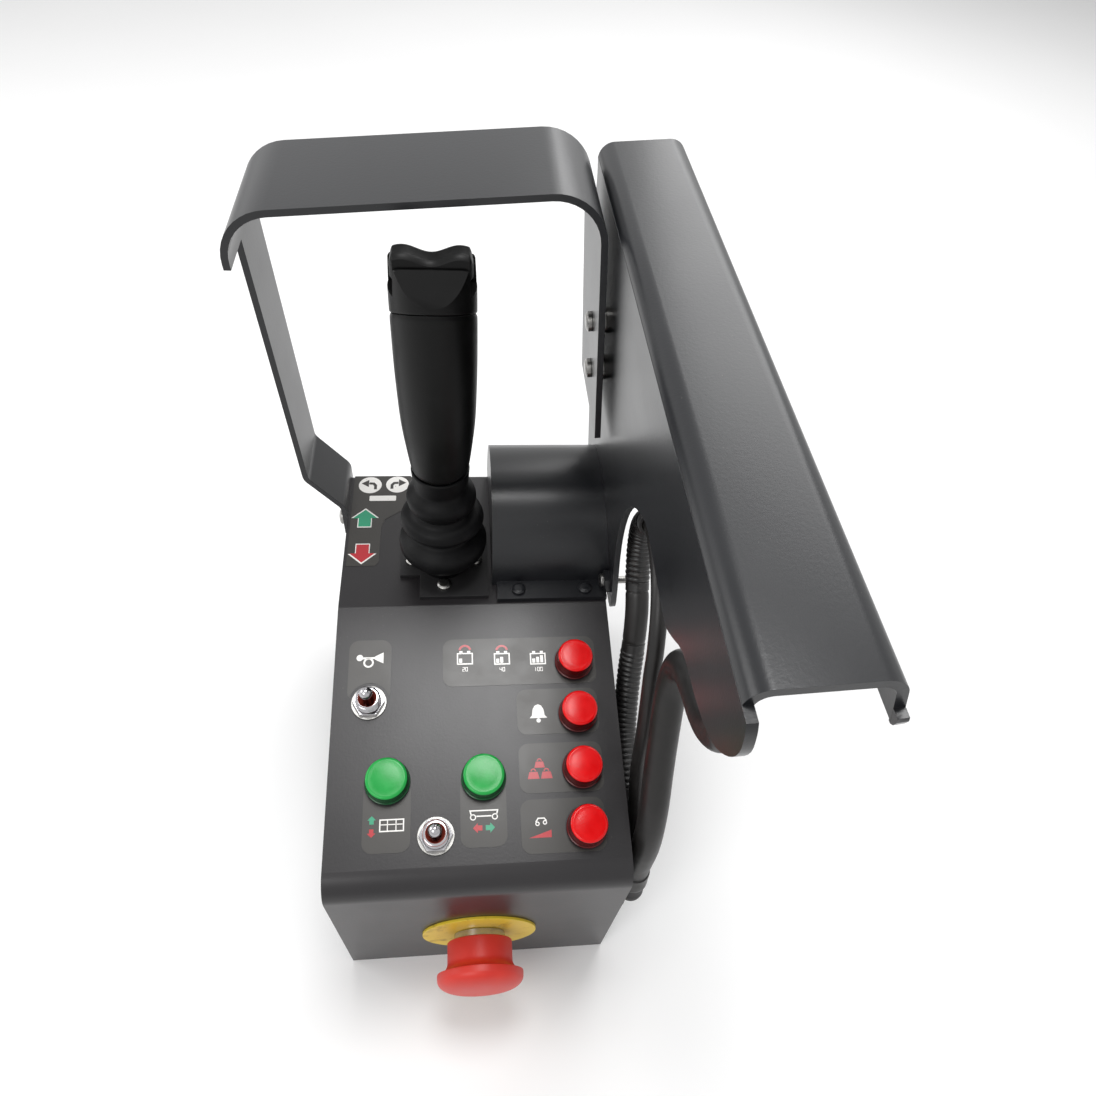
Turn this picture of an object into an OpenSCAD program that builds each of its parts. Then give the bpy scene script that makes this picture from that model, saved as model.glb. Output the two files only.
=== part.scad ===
// Scissor lift control box: a sheet steel box with lamps, toggles, a stop button and a joystick,
// carried under a rail hook by a half drum, with a flat bar guard round the joystick.
// Lengths are millimetres. X runs left to right, Y runs from the front to the back, Z is up.
// The origin is in the middle of the flat bottom that the box stands on.

/* [Box] */
// Width of the box
box_w = 144.4; // [138:0.2:150]
// Height of the corner where the front face meets the panel
front_h = 132; // [122:0.5:140]
// How far back the foot of the front face stands from that corner
front_setback = 7.5; // [0:0.5:12]
// Level distance from the front corner to the panel's bend
slope_d = 140.5; // [136:0.5:146]
// Height of the level upper panel
upper_h = 162.5; // [156:0.5:172]
// Depth of the whole box
box_d = 241.5; // [236:0.5:256]
// Thickness of the box's sheet
sheet_t = 2; // [1.5:0.1:2.5]
// Outer radius of the front panel bend
front_bend_r = 13; // [8:1:16]
// Outer radius of the other long bends
back_bend_r = 5; // [3:0.5:7]
// Thickness of the base gasket
gasket_t = 1.5; // [1:0.1:2.5]
// Width of the flange that the base plate closes
flange_w = 12; // [11:0.5:16]

/* [Lamps] */
// Diameter of a red lens
red_lens_d = 20; // [18:0.5:22]
// Height of a red lens over the panel
red_lens_h = 11; // [8:0.5:13]
// Diameter of a green lens
green_lens_d = 22; // [20:0.5:24]
// Height of a green lens over the panel
green_lens_h = 9; // [7:0.5:12]
// Diameter of a lamp's threaded barrel
lamp_barrel_d = 16; // [14:0.5:16]
// Length of a lamp's barrel behind the panel
lamp_barrel_l = 24; // [16:1:30]
// Distance of the red column from the right wall
red_side = 20.8; // [18:0.2:24]
// Place of the first red lamp up the slope
red_first_s = 25.4; // [24:0.2:28]
// Step between red lamps up the slope
red_step = 27.9; // [26:0.1:29]

/* [Toggles] */
// Diameter of a toggle's threaded bushing
bushing_d = 12; // [11:0.5:13]
// Height of a toggle's bushing over the panel
bushing_h = 8.5; // [7:0.5:10]
// Height of a toggle lever's tip over the panel
lever_h = 19; // [15:0.5:24]
// Diameter of the ball on a lever's tip
lever_ball_d = 6.4; // [5:0.2:8]

/* [Stop button] */
// Height of the stop button's axis
stop_z = 54.5; // [48:0.5:62]
// Diameter of the yellow disc
disc_d = 60; // [50:1:70]
// Thickness of the yellow disc
disc_t = 1.5; // [1:0.1:2]
// Diameter of the chrome bezel
bezel_d = 27; // [26:0.5:30]
// Diameter of the red collar
collar_d = 34; // [31:0.5:34]
// Diameter of the mushroom head
mushroom_d = 44.5; // [36:0.5:46]
// How far the mushroom stands off the yellow disc
mushroom_reach = 30; // [28:0.5:34]
// Travel of the stop button
stop_travel = 3.8; // [3:0.5:5]

/* [Joystick] */
// Place of the joystick's axis across the box
stick_x = -16.2; // [-18:0.2:-15]
// Place of the joystick's axis from the front
stick_y = 169.4; // [168:0.2:172]
// Height of the joystick's pivot
pivot_z = 152; // [150:0.5:154]
// Height of the top of the grip
grip_top = 350; // [340:1:356]
// Height at the stick's axis of the leaning seam under the grip's head
grip_seam = 325; // [322:1:328]
// Height of the bottom of the grip
grip_foot = 237.5; // [234:0.5:240]
// Largest radius of the grip
grip_r = 18.1; // [17.8:0.1:19]
// Diameter of the stick's shaft
shaft_d = 10; // [8:0.5:11]
// Largest radius of the rubber boot
boot_r = 23.3; // [21:0.1:25.5]

/* [Drum and rail hook] */
// Outer radius of the half drum
drum_r = 46; // [42:0.5:48]
// Place of the drum's axis from the front
drum_y = 199.3; // [198:0.1:201]
// Left end of the drum
drum_x = 10; // [10:0.5:14]
// Wall of the drum
drum_t = 3; // [2:0.5:4]
// Lean of the hook and the guard towards the left, in degrees
bracket_lean = 5; // [0:0.5:6]
// Thickness of the hook's sheet
hook_t = 3; // [2.5:0.1:3.5]
// Inner width of the hook, which a rail fills
hook_gap = 33; // [32:0.5:40]
// Length of the hook's top
hook_l = 283; // [270:1:300]
// Height of the hook's top
hook_top = 362.5; // [350:0.5:370]
// Depth of the hook's outer lip under the top
lip_h = 20; // [18:0.5:28]
// Splay of the outer lip, in degrees
lip_splay = 11; // [0:1:14]

/* [Guard] */
// Thickness of the guard's flat bar
guard_t = 3; // [2.5:0.1:3.5]
// Height of the guard's top in the hook's leaning frame
guard_top = 373.5; // [366:0.5:380]
// Width of the guard's top
guard_top_w = 61; // [56:0.5:66]
// Width of the guard's left leg
guard_leg_w = 37; // [30:0.5:42]
// Outer radius of the guard's two top bends
guard_bend_r = 21; // [16:0.5:26]
// Reach of the guard to the left of the hook's plate
guard_reach = 156.5; // [152:0.5:162]

/* [Leads] */
// Diameter of the looped lead
lead_d = 8; // [7:0.1:8.4]
// Outer diameter of the ribbed conduit
conduit_d = 13; // [12:0.2:13.6]
// Pitch of the conduit's ribs
rib_pitch = 4.5; // [4:0.1:6]
// Diameter of the feed hose
feed_d = 14; // [12:0.5:14.5]

/* [Hidden] */
$fn = 64;
over = 1;
seat_gap = 0.3;
slip = 0.2;
run = 0.05;

slope_a = atan((upper_h - front_h) / slope_d);
front_a = atan(front_setback / front_h);
half_w = box_w / 2;

// Fasteners
m4_d = 4;
m4_head_d = 7.4;
m4_head_h = 2.2;
m4_nut_d = 8;
m5_d = 5;
m5_head_d = 9.4;
m5_head_h = 3;

// Lamps: name, place across, place up the slope, lens diameter and height
lamp_seal_t = 0.8;
lamp_terminal_l = 7;
lamp_terminal_w = 4.8;
lamp_nut_d = 21;
lamp_nut_t = 4;
green_x = [-43.5, 2.7];
green_s = 50.8;
LAMPS = [
    ["battery", half_w - red_side, red_first_s + 3 * red_step, red_lens_d, red_lens_h, "red"],
    ["warning", half_w - red_side, red_first_s + 2 * red_step, red_lens_d, red_lens_h, "red"],
    ["overload", half_w - red_side, red_first_s + red_step, red_lens_d, red_lens_h, "red"],
    ["tilt", half_w - red_side, red_first_s, red_lens_d, red_lens_h, "red"],
    ["lift", green_x[0], green_s, green_lens_d, green_lens_h, "green"],
    ["drive", green_x[1], green_s, green_lens_d, green_lens_h, "green"]];

// Toggles: place across and up the slope
TOGGLES = [[-53.9, 90.5], [-20.3, 24.8]];
toggle_nut_d = 16.4;
toggle_nut_t = 2.6;
toggle_washer_d = 17.6;
toggle_washer_t = 0.8;
switch_w = 15;
switch_l = 20;
switch_h = 22;
lever_d = 3.6;
lever_pivot_h = 1.5;
lever_tail = 2.5;
lever_room_d = 5.4;

// Stop button, measured along its axis from the front face
stop_barrel_d = 22;
stop_barrel_l = 26;
stop_stem_d = 12;
bezel_l = 14;
collar_foot = 5.5;
head_l = 12;
stop_nut_d = 30;
stop_nut_t = 5;
contact_w = 32;
contact_l = 20;
plunger_l = 21;
head_stem_d = 7;

// Joystick parts
plate_w = 48;
plate_l = 50;
plate_t = 2.5;
plate_notch_w = 11;
plate_notch_l = 15;
plate_screw_at = 17.4;
well_d = 22;
block_w = 46;
block_h = 34;
well_depth = 24;
ear_gap = 13;
cradle_l = 34;
axle_d = 5;
eye_d = 12;
axle_l = 28;
shaft_top = 312;
boot_wall = 1.6;
trigger_w = 12;
trigger_foot = 247;
trigger_top = 304;
trigger_pin_z = 298;
trigger_pin_y = 13;
trigger_floor = 6.3;
trigger_inner = 14.2;
trigger_bulge = 22.5;
pin_d = 3;
rocker_half = 16.4;
rocker_t = 11;
rocker_y = -3.2;
rocker_pin_z = 345;
rocker_drop = 3;
rocker_hump = 10.2;
rocker_valley = 7.2;
rocker_shoulder = 4;
rocker_pocket_z = 338;
seam_lean = 29;
face_lean = 56;
nape_lean = 50;

// Drum and hook
plate_x = 73.5;
lean_z = 180;
hook_y = -34;
hook_nose = 6;
tab_l = 3;
plate_heel = 8;
plate_drop = 206;
hook_bend_r = 6;
drum_foot_w = 60;
drum_foot_l = 11.8;
drum_foot_x = 12.5;

// Guard
guard_y = 181.5;
leg_y = 206;
right_leg_foot = 246;
guard_notch_z = 335;
spacer_t = 3.5;
spacer_d = 12;
guard_foot_z = 148;
guard_foot_top = 170;
guard_joggle_z = 193;
guard_joggle_x = 91.5;
guard_foot_r = 8;
guard_screw_y = 205;
guard_screw_z = [272, 299];
foot_screw_z = 154.5;
foot_screw_y = [214, 232];

// Leads: routes in order from the gland, then places along them
lead_x = half_w + 7.8;
gland_d = 13;
gland_pipe_d = 12;
gland_hex_d = 17;
gland_hex_t = 3.5;
gland_tail_l = 9;
gland_nut_d = 18;
gland_nut_t = 4;
gland_socket_l = 9;
gland_spots = [[44, 101, 30], [36, 82, 105], [15, 77, 84]];
// Box depth and hook top that the glands' places and the leads' routes are drawn for, and the growth from them
drawn_for = [241.5, 362.5];
grown = [(lead_x - half_w) / 7.8, box_d / drawn_for[0], hook_top / drawn_for[1]];
GLANDS = [for (g = gland_spots) [g[0] * grown[1], g[1] * grown[2], g[2]]];

// The drawing starts under the front panel corner, and each piece is then moved to put the origin in mid base
base_y = (front_setback + box_d) / 2;
module from_base() translate([0, -base_y, 0]) children();

// Points and directions
function lean_pt(p) = [plate_x + (p[0] - plate_x) * cos(bracket_lean) - (p[1] - lean_z) * sin(bracket_lean),
    lean_z + (p[0] - plate_x) * sin(bracket_lean) + (p[1] - lean_z) * cos(bracket_lean)];
function unit(v) = v / norm(v);
function turn(v) = [-v[1], v[0]];
function cross2(a, b) = a[0] * b[1] - a[1] * b[0];

// Points of an arc that rounds the corner b between a and c
function corner(a, b, c, r, steps) = let (
        u = unit(a - b), w = unit(c - b), half = acos(u * w) / 2,
        side = cross2(u, w) > 0 ? 1 : -1, hub = b + unit(u + w) * r / sin(half),
        spread = 180 - 2 * half, first = b + u * r / tan(half) - hub)
    [for (i = [0:steps]) let (t = side * spread * -i / steps)
        hub + [first[0] * cos(t) - first[1] * sin(t), first[0] * sin(t) + first[1] * cos(t)]];

// A path with its inner corners rounded
function rounded(p, r, steps = 8) = concat([p[0]],
    [for (i = [1:len(p) - 2]) for (q = corner(p[i - 1], p[i], p[i + 1], r[i - 1], steps)) q],
    [p[len(p) - 1]]);
function side_at(p, i) = let (n = len(p),
        u = unit(p[min(i + 1, n - 1)] - p[i == n - 1 ? n - 2 : i]),
        w = unit(p[i == 0 ? 1 : i] - p[max(i - 1, 0)]), m = unit(turn(u) + turn(w)))
    m / (m * turn(u));

// A sheet of thickness t that follows a path, as one outline
module band(p, t) {
    n = len(p);
    polygon(concat([for (i = [0:n - 1]) p[i] + side_at(p, i) * t / 2],
        [for (i = [n - 1:-1:0]) p[i] - side_at(p, i) * t / 2]));
}

// An outline in X and Z, drawn out along Y from y0 to y1
module along_y(y0, y1) {
    translate([0, y1, 0]) rotate([90, 0, 0]) linear_extrude(y1 - y0) children();
}

// An outline in Y and Z, drawn out along X from x0 to x1
module along_x(x0, x1) {
    translate([x0, 0, 0]) rotate([90, 0, 90]) linear_extrude(x1 - x0) children();
}

// Frames of the faces: children stand on the face with their Z along its outward normal
module on_slope(x, s) {
    translate([x, s * cos(slope_a), front_h + s * sin(slope_a)]) rotate([slope_a, 0, 0]) children();
}
module on_front(x, z) {
    translate([x, front_setback * (1 - z / front_h), z]) rotate([90 + front_a, 0, 0]) children();
}
module leaning() {
    translate([plate_x, 0, lean_z]) rotate([0, -bracket_lean, 0]) translate([-plate_x, 0, -lean_z]) children();
}

module rod(d, z0, z1) {
    translate([0, 0, z0]) cylinder(d = d, h = z1 - z0);
}
module hex(d, z0, z1) {
    translate([0, 0, z0]) cylinder(d = d, h = z1 - z0, $fn = 6);
}
module ring(d, bore, z0, z1) {
    difference() {
        rod(d, z0, z1);
        rod(bore, z0 - over, z1 + over);
    }
}
module pan_screw(d, head_d, head_h, l) {
    rod(d, -l, 0);
    rod(head_d, 0, head_h * 2 / 3);
    translate([0, 0, head_h * 2 / 3]) cylinder(d1 = head_d, d2 = head_d * 2 / 3, h = head_h / 3);
}

// Side outline of the box, drawn inwards by d
module box_side(d) {
    top = upper_h - d;
    bend = d / cos(slope_a);
    front_top = [d / cos(front_a), front_h + d / cos(front_a) * tan(slope_a) - bend];
    foot_y = front_setback + d / cos(front_a);
    drop = tan(slope_a / 2) * d;
    polygon(concat([[foot_y, 0]],
        corner([foot_y, 0], front_top, [slope_d + drop, top], max(front_bend_r - d, sheet_t), 10),
        corner(front_top, [slope_d + drop, top], [box_d, top], back_bend_r, 4),
        corner([slope_d, top], [box_d - d, top], [box_d - d, 0], max(back_bend_r - d, sheet_t), 6),
        [[box_d - d, 0]]));
}

// Places of the base screws
function base_screw_at() = let (e = flange_w / 2 + sheet_t, y0 = front_setback + e + sheet_t, y1 = box_d - e)
    [for (x = [-half_w + e, half_w - e]) for (k = [0:2]) [x, y0 + (y1 - y0) * k / 2]];
flange_z = sheet_t + gasket_t;

module base_outline(inset) {
    y0 = front_setback + sheet_t / cos(front_a) + inset;
    translate([-half_w + sheet_t + inset, y0]) square([box_w - 2 * sheet_t - 2 * inset, box_d - sheet_t - inset - y0]);
}

module box_shell() color("#26272b") from_base() {
    difference() {
        along_x(-half_w, half_w) box_side(0);
        difference() {
            along_x(-half_w + sheet_t, half_w - sheet_t) box_side(sheet_t);
            translate([0, 0, flange_z]) linear_extrude(sheet_t) difference() {
                base_outline(-over);
                base_outline(flange_w);
            }
        }
        translate([0, 0, -over]) linear_extrude(flange_z + over) base_outline(0);
        for (p = base_screw_at()) translate([p[0], p[1], 0]) rod(m4_d + 2 * slip, -over, flange_z + sheet_t + over);
        for (l = LAMPS) on_slope(l[1], l[2]) rod(lamp_barrel_d + 2 * slip, -sheet_t - over, over);
        for (t = TOGGLES) on_slope(t[0], t[1]) rod(bushing_d + 2 * slip, -sheet_t - over, over);
        on_front(0, stop_z) rod(stop_barrel_d + 2 * slip, -sheet_t - over, over);
        translate([stick_x, stick_y, 0]) rod(well_d + 2 * slip, upper_h - sheet_t - over, upper_h + over);
        for (p = plate_screws()) translate([p[0], p[1], 0]) rod(m4_d + 2 * slip, upper_h - sheet_t - over, upper_h + over);
        for (p = drum_screw_at()) translate([p[0], p[1], 0]) rod(m4_d + 2 * slip, upper_h - sheet_t - over, upper_h + over);
        for (g = GLANDS) translate([half_w, g[0], g[1]]) rotate([0, 90, 0]) rod(gland_pipe_d + 2 * slip, -sheet_t - over, over);
        for (y = foot_screw_y) translate([-half_w, y, foot_screw_z]) rotate([0, 90, 0]) rod(m5_d + 2 * slip, -over, sheet_t + over);
    }
}

module base_plate() color("#303136") from_base() {
    difference() {
        linear_extrude(sheet_t) base_outline(seat_gap);
        for (p = base_screw_at()) translate([p[0], p[1], 0]) {
            rod(m4_d + 2 * slip, -over, sheet_t + over);
            translate([0, 0, -run]) cylinder(d1 = m4_head_d + 2 * slip, d2 = m4_d + 2 * slip, h = sheet_t);
        }
    }
}

module base_gasket() color("#141414") from_base() {
    translate([0, 0, sheet_t]) linear_extrude(gasket_t) difference() {
        base_outline(seat_gap);
        base_outline(flange_w);
        for (p = base_screw_at()) translate(p) circle(d = m4_d + 4 * slip);
    }
}

module base_screws() color("#b8bbc0") from_base() {
    for (p = base_screw_at()) translate([p[0], p[1], 0]) {
        cylinder(d1 = m4_head_d, d2 = m4_d, h = sheet_t);
        rod(m4_d, sheet_t, flange_z + sheet_t + m4_d);
        translate([0, 0, flange_z + sheet_t]) difference() {
            hex(m4_nut_d, 0, m4_d * 3 / 4);
            rod(m4_d, -over, m4_d + over);
        }
    }
}

module stop_disc() color("#f2c21a") from_base() {
    on_front(0, stop_z) ring(disc_d, stop_barrel_d + 2 * slip, 0, disc_t);
}

module stop_bezel() color("#d9dce0") from_base() {
    on_front(0, stop_z) difference() {
        union() {
            rod(bezel_d, disc_t, bezel_l);
            rod(stop_barrel_d, -stop_barrel_l, disc_t + over);
        }
        rod(stop_stem_d + 2 * run, -stop_barrel_l - over, bezel_l + over);
    }
}

module stop_nut() color("#9a9ca0") from_base() {
    on_front(0, stop_z) difference() {
        hex(stop_nut_d, -sheet_t - stop_nut_t, -sheet_t);
        rod(stop_barrel_d + 2 * run, -sheet_t - stop_nut_t - over, over);
    }
}

// The collar's inner roof, one travel over the bezel's end
function stop_roof() = bezel_l + stop_travel + seat_gap * 2;

module stop_plunger() color("#c9ccd0") from_base() {
    on_front(0, stop_z) {
        rod(stop_stem_d, -plunger_l, stop_roof() - seat_gap);
        rod(head_stem_d, stop_roof() - over, stop_roof() + head_stem_d);
    }
}

module stop_button() color("#d8281f") from_base() {
    rim = (mushroom_d - collar_d) / 2;
    roof = stop_roof();
    flare = mushroom_reach - head_l;
    on_front(0, stop_z) difference() {
        rotate_extrude() polygon(concat([[0, roof], [bezel_d / 2 + seat_gap, roof],
            [bezel_d / 2 + seat_gap, collar_foot], [collar_d / 2, collar_foot],
            [collar_d / 2, flare - rim / 2]],
            [for (i = [1:4]) [collar_d / 2 + rim * (1 - cos(90 * i / 4)), flare - rim / 2 + rim * sin(90 * i / 4)]],
            [for (i = [0:9]) [mushroom_d / 2 * cos(90 * i / 10), flare + rim + (head_l - rim) * sin(90 * i / 10)]],
            [[0, mushroom_reach]]));
        rod(head_stem_d + 2 * run, roof - over, roof + head_stem_d + seat_gap);
    }
}

module contact_block() color("#2f6b3c") from_base() {
    on_front(0, stop_z) translate([-contact_w / 2, -contact_w / 2, -stop_barrel_l - contact_l])
        cube([contact_w, contact_w, contact_l]);
}

module toggle_switch(t) {
    on_slope(t[0], t[1]) difference() {
        union() {
            rod(bushing_d, -sheet_t - over, bushing_h);
            translate([-switch_w / 2, -switch_l / 2, -sheet_t - switch_h]) cube([switch_w, switch_l, switch_h - run]);
            for (k = [-1:1]) translate([-lamp_terminal_w / 2, k * switch_l / 3 - lamp_seal_t / 2, -sheet_t - switch_h - lamp_terminal_l])
                cube([lamp_terminal_w, lamp_seal_t, lamp_terminal_l + over]);
        }
        rod(lever_room_d, lever_pivot_h - lever_tail * 2, bushing_h + over);
        translate([0, 0, lever_pivot_h * 2]) cylinder(d1 = lever_room_d, d2 = bushing_d * 3 / 4, h = bushing_h - lever_pivot_h * 2 + run);
    }
}

module toggle_lever(t) {
    on_slope(t[0], t[1]) translate([0, 0, lever_pivot_h]) rotate([0, 90, 0])
        rod(lever_d * 2 / 3, -lever_d / 2 - 2 * slip, lever_d / 2 + 2 * slip);
    on_slope(t[0], t[1]) rotate_extrude() polygon(concat([[0, lever_pivot_h - lever_tail],
        [lever_d / 2, lever_pivot_h - lever_tail], [lever_d / 2, bushing_h], [lever_ball_d * 2 / 5, lever_h - lever_ball_d]],
        [for (i = [0:8]) [lever_ball_d / 2 * cos(-30 + 120 * i / 8), lever_h - lever_ball_d / 2 + lever_ball_d / 2 * sin(-30 + 120 * i / 8)]]));
}

module horn_switch() color("#a33a2c") from_base() toggle_switch(TOGGLES[0]);
module horn_lever() color("#d5d8dc") from_base() toggle_lever(TOGGLES[0]);
module mode_switch() color("#a33a2c") from_base() toggle_switch(TOGGLES[1]);
module mode_lever() color("#d5d8dc") from_base() toggle_lever(TOGGLES[1]);

module toggle_washers() color("#b9a9a0") from_base() {
    for (t = TOGGLES) on_slope(t[0], t[1]) ring(toggle_washer_d, bushing_d + 2 * run, run, toggle_washer_t);
}
module toggle_nuts() color("#cfd2d6") from_base() {
    for (t = TOGGLES) on_slope(t[0], t[1]) difference() {
        hex(toggle_nut_d, toggle_washer_t, toggle_washer_t + toggle_nut_t);
        rod(bushing_d + 2 * run, 0, toggle_washer_t + toggle_nut_t + over);
    }
}

module lamp_lens(l) {
    edge = l[4] / 5;
    color(l[5] == "red" ? "#e0131c" : "#12a04a") from_base() on_slope(l[1], l[2]) rotate_extrude() polygon(concat(
        [[0, lamp_seal_t], [l[3] / 2, lamp_seal_t]],
        [for (i = [0:5]) [l[3] / 2 - edge / 2 - edge * (1 - cos(90 * i / 5)), l[4] - edge + edge * sin(90 * i / 5)]],
        [[0, l[4]]]));
}
module lamp_body(l) {
    color("#1d1d1f") from_base() on_slope(l[1], l[2]) {
        rod(lamp_barrel_d, -sheet_t - lamp_barrel_l, lamp_seal_t);
        rod(l[3] - lamp_seal_t, run, lamp_seal_t);
        for (k = [-1, 1]) translate([k * lamp_barrel_d / 4 - lamp_seal_t / 2, -lamp_terminal_w / 2, -sheet_t - lamp_barrel_l - lamp_terminal_l])
            cube([lamp_seal_t, lamp_terminal_w, lamp_terminal_l + over]);
    }
}
module lamp_nuts() color("#1a1a1a") from_base() {
    for (l = LAMPS) on_slope(l[1], l[2]) difference() {
        hex(lamp_nut_d, -sheet_t - lamp_nut_t, -sheet_t - run);
        rod(lamp_barrel_d + 2 * run, -sheet_t - lamp_nut_t - over, over);
    }
}

// The joystick's plate and the cradle under the panel that carries the stick
function plate_screws() = [for (k = [0:3]) [stick_x + plate_screw_at * cos(90 * k), stick_y + plate_screw_at * sin(90 * k)]];

module joystick_plate() color("#17181a") from_base() {
    translate([0, 0, upper_h]) difference() {
        translate([stick_x - plate_w / 2, stick_y - plate_l / 2]) cube([plate_w, plate_l, plate_t]);
        translate([stick_x - plate_w / 2 - over, stick_y - plate_l / 2 - over, -over])
            cube([plate_notch_w + over, plate_notch_l + over, plate_t + 2 * over]);
        translate([stick_x, stick_y, 0]) rod(well_d, -over, plate_t + over);
        for (p = plate_screws()) translate([p[0], p[1], 0]) rod(m4_d + 2 * slip, -over, plate_t + over);
    }
}

module joystick_screws() color("#c9ccd0") from_base() {
    for (p = plate_screws()) translate([p[0], p[1], upper_h + plate_t])
        pan_screw(m4_d, m4_head_d, m4_head_h, plate_t + sheet_t + m4_d * 3 / 2);
}

module gimbal_housing() color("#222326") from_base() {
    top = upper_h - sheet_t;
    translate([stick_x, stick_y, 0]) difference() {
        translate([-block_w / 2, -block_w / 2, top - block_h]) cube([block_w, block_w, block_h]);
        translate([-ear_gap / 2, -cradle_l / 2, top - well_depth]) cube([ear_gap, cradle_l, well_depth + over]);
        translate([-block_w, 0, pivot_z]) rotate([0, 90, 0]) cylinder(d = axle_d + 2 * run, h = 2 * block_w);
        for (p = plate_screws()) translate([p[0] - stick_x, p[1] - stick_y, 0]) rod(m4_d + 2 * run, top - m4_d * 3, upper_h);
    }
}

module stick_axle() color("#c0c3c8") from_base() {
    translate([stick_x - axle_l / 2, stick_y, pivot_z]) rotate([0, 90, 0]) cylinder(d = axle_d, h = axle_l);
}

module stick_shaft() color("#b4b7bc") from_base() {
    w = ear_gap - 2 * seat_gap;
    translate([stick_x, stick_y, 0]) difference() {
        union() {
            translate([-w / 2, 0, pivot_z]) rotate([0, 90, 0]) cylinder(d = eye_d, h = w);
            rod(shaft_d, pivot_z, shaft_top);
        }
        translate([-w, 0, pivot_z]) rotate([0, 90, 0]) cylinder(d = axle_d + 2 * run, h = 2 * w);
    }
}

// Outline of the boot: three bellows over a narrow foot, each point a share of its radius and height
boot_shares = [[0.56, 0.00], [0.60, 0.06], [0.78, 0.13], [0.93, 0.19], [1.00, 0.25], [0.97, 0.31], [0.82, 0.36],
    [0.70, 0.39], [0.70, 0.42], [0.82, 0.46], [0.92, 0.50], [0.92, 0.53], [0.85, 0.57], [0.70, 0.60], [0.64, 0.63],
    [0.66, 0.65], [0.74, 0.69], [0.76, 0.74], [0.72, 0.78], [0.62, 0.82], [0.58, 0.85], [0.60, 0.91], [0.62, 1.00]];
boot_z0 = upper_h + plate_t;
boot_z1 = grip_foot - seat_gap;
function boot_pt(s, inset) = [boot_r * s[0] - inset, boot_z0 + (boot_z1 - boot_z0) * s[1]];
module boot() color("#1b1b1c") from_base() {
    n = len(boot_shares);
    neck = shaft_d / 2 + seat_gap;
    translate([stick_x, stick_y, 0]) rotate_extrude() polygon(concat(
        [for (s = boot_shares) boot_pt(s, 0)], [[neck, boot_z1], [neck, boot_z1 - boot_wall * 2]],
        [for (i = [n - 3:-1:0]) boot_pt(boot_shares[i], boot_wall) - [0, i == n - 3 ? boot_wall : 0]]));
}

// Outline of the grip, as shares of its largest radius and of its height
grip_shares = [[0.74, 0.00], [0.79, 0.03], [0.86, 0.12], [0.95, 0.27], [0.985, 0.42], [1.00, 0.56], [1.00, 0.70],
    [0.995, 0.80], [0.985, 0.90], [0.955, 1.00]];
function grip_pt(s) = [grip_r * s[0], grip_foot + (grip_top - grip_foot) * s[1]];
module grip_solid() {
    rotate_extrude() polygon(concat([[0, grip_foot]], [for (s = grip_shares) grip_pt(s)], [[0, grip_top]]));
}

// The space over the seam, which leans down to the back
module over_seam(gap) {
    translate([0, 0, grip_seam + gap]) rotate([-seam_lean, 0, 0]) translate([-grip_r * 2, -grip_r * 3, 0])
        cube([grip_r * 4, grip_r * 6, grip_r * 4]);
}

module grip_body() color("#1c1c1e") from_base() {
    translate([stick_x, stick_y, 0]) difference() {
        grip_solid();
        over_seam(0);
        rod(shaft_d + 2 * run, grip_foot - over, shaft_top + seat_gap);
        translate([-trigger_w / 2, trigger_floor, trigger_foot - over])
            cube([trigger_w, grip_r, trigger_top - trigger_foot + 2 * over]);
        translate([-grip_r, trigger_pin_y, trigger_pin_z]) rotate([0, 90, 0]) cylinder(d = pin_d + 2 * run, h = 2 * grip_r);
    }
}

module grip_head() color("#19191b") from_base() {
    front = rocker_y - rocker_t / 2 - seat_gap;
    back = rocker_y + rocker_t / 2 + seat_gap;
    translate([stick_x, stick_y, 0]) difference() {
        intersection() {
            grip_solid();
            over_seam(0);
        }
        translate([-grip_r * 2, front, rocker_pocket_z]) cube([grip_r * 4, back - front, grip_top]);
        translate([0, rocker_y + rocker_t, rocker_pin_z]) rotate([90, 0, 0]) cylinder(d = pin_d + 2 * run, h = 2 * rocker_t);
        translate([-grip_r * 2, front - 2 * seat_gap, grip_top]) rotate([face_lean, 0, 0]) translate([0, -grip_r * 2, 0])
            cube([grip_r * 4, grip_r * 2, grip_r]);
        translate([-grip_r * 2, back + 2 * seat_gap, grip_top]) rotate([-nape_lean, 0, 0])
            cube([grip_r * 4, grip_r * 2, grip_r]);
    }
}

module steering_rocker() color("#232325") from_base() {
    w = rocker_half;
    dome = rocker_hump - rocker_valley;
    translate([stick_x, stick_y, 0]) difference() {
        intersection() {
            translate([0, rocker_y, rocker_pin_z]) along_y(-rocker_t / 2, rocker_t / 2) polygon(concat(
                [[-w, 0], [-w * 3 / 4, -rocker_drop], [w * 3 / 4, -rocker_drop], [w, 0], [w, rocker_shoulder]],
                [for (i = [1:17]) let (x = 1 - i / 9) [w * 19 / 20 * x, rocker_valley + dome * (1 - cos(260 * x)) / 2]],
                [[-w, rocker_shoulder]]));
            rod(grip_r * 19 / 10, rocker_pocket_z, grip_top + rocker_hump);
        }
        translate([0, rocker_y + rocker_t, rocker_pin_z]) rotate([90, 0, 0]) cylinder(d = pin_d + 2 * run, h = 2 * rocker_t);
    }
}

module rocker_pin() color("#b4b7bc") from_base() {
    translate([stick_x, stick_y + rocker_y + rocker_t * 2 / 3, rocker_pin_z]) rotate([90, 0, 0])
        cylinder(d = pin_d, h = rocker_t * 4 / 3);
}

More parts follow.
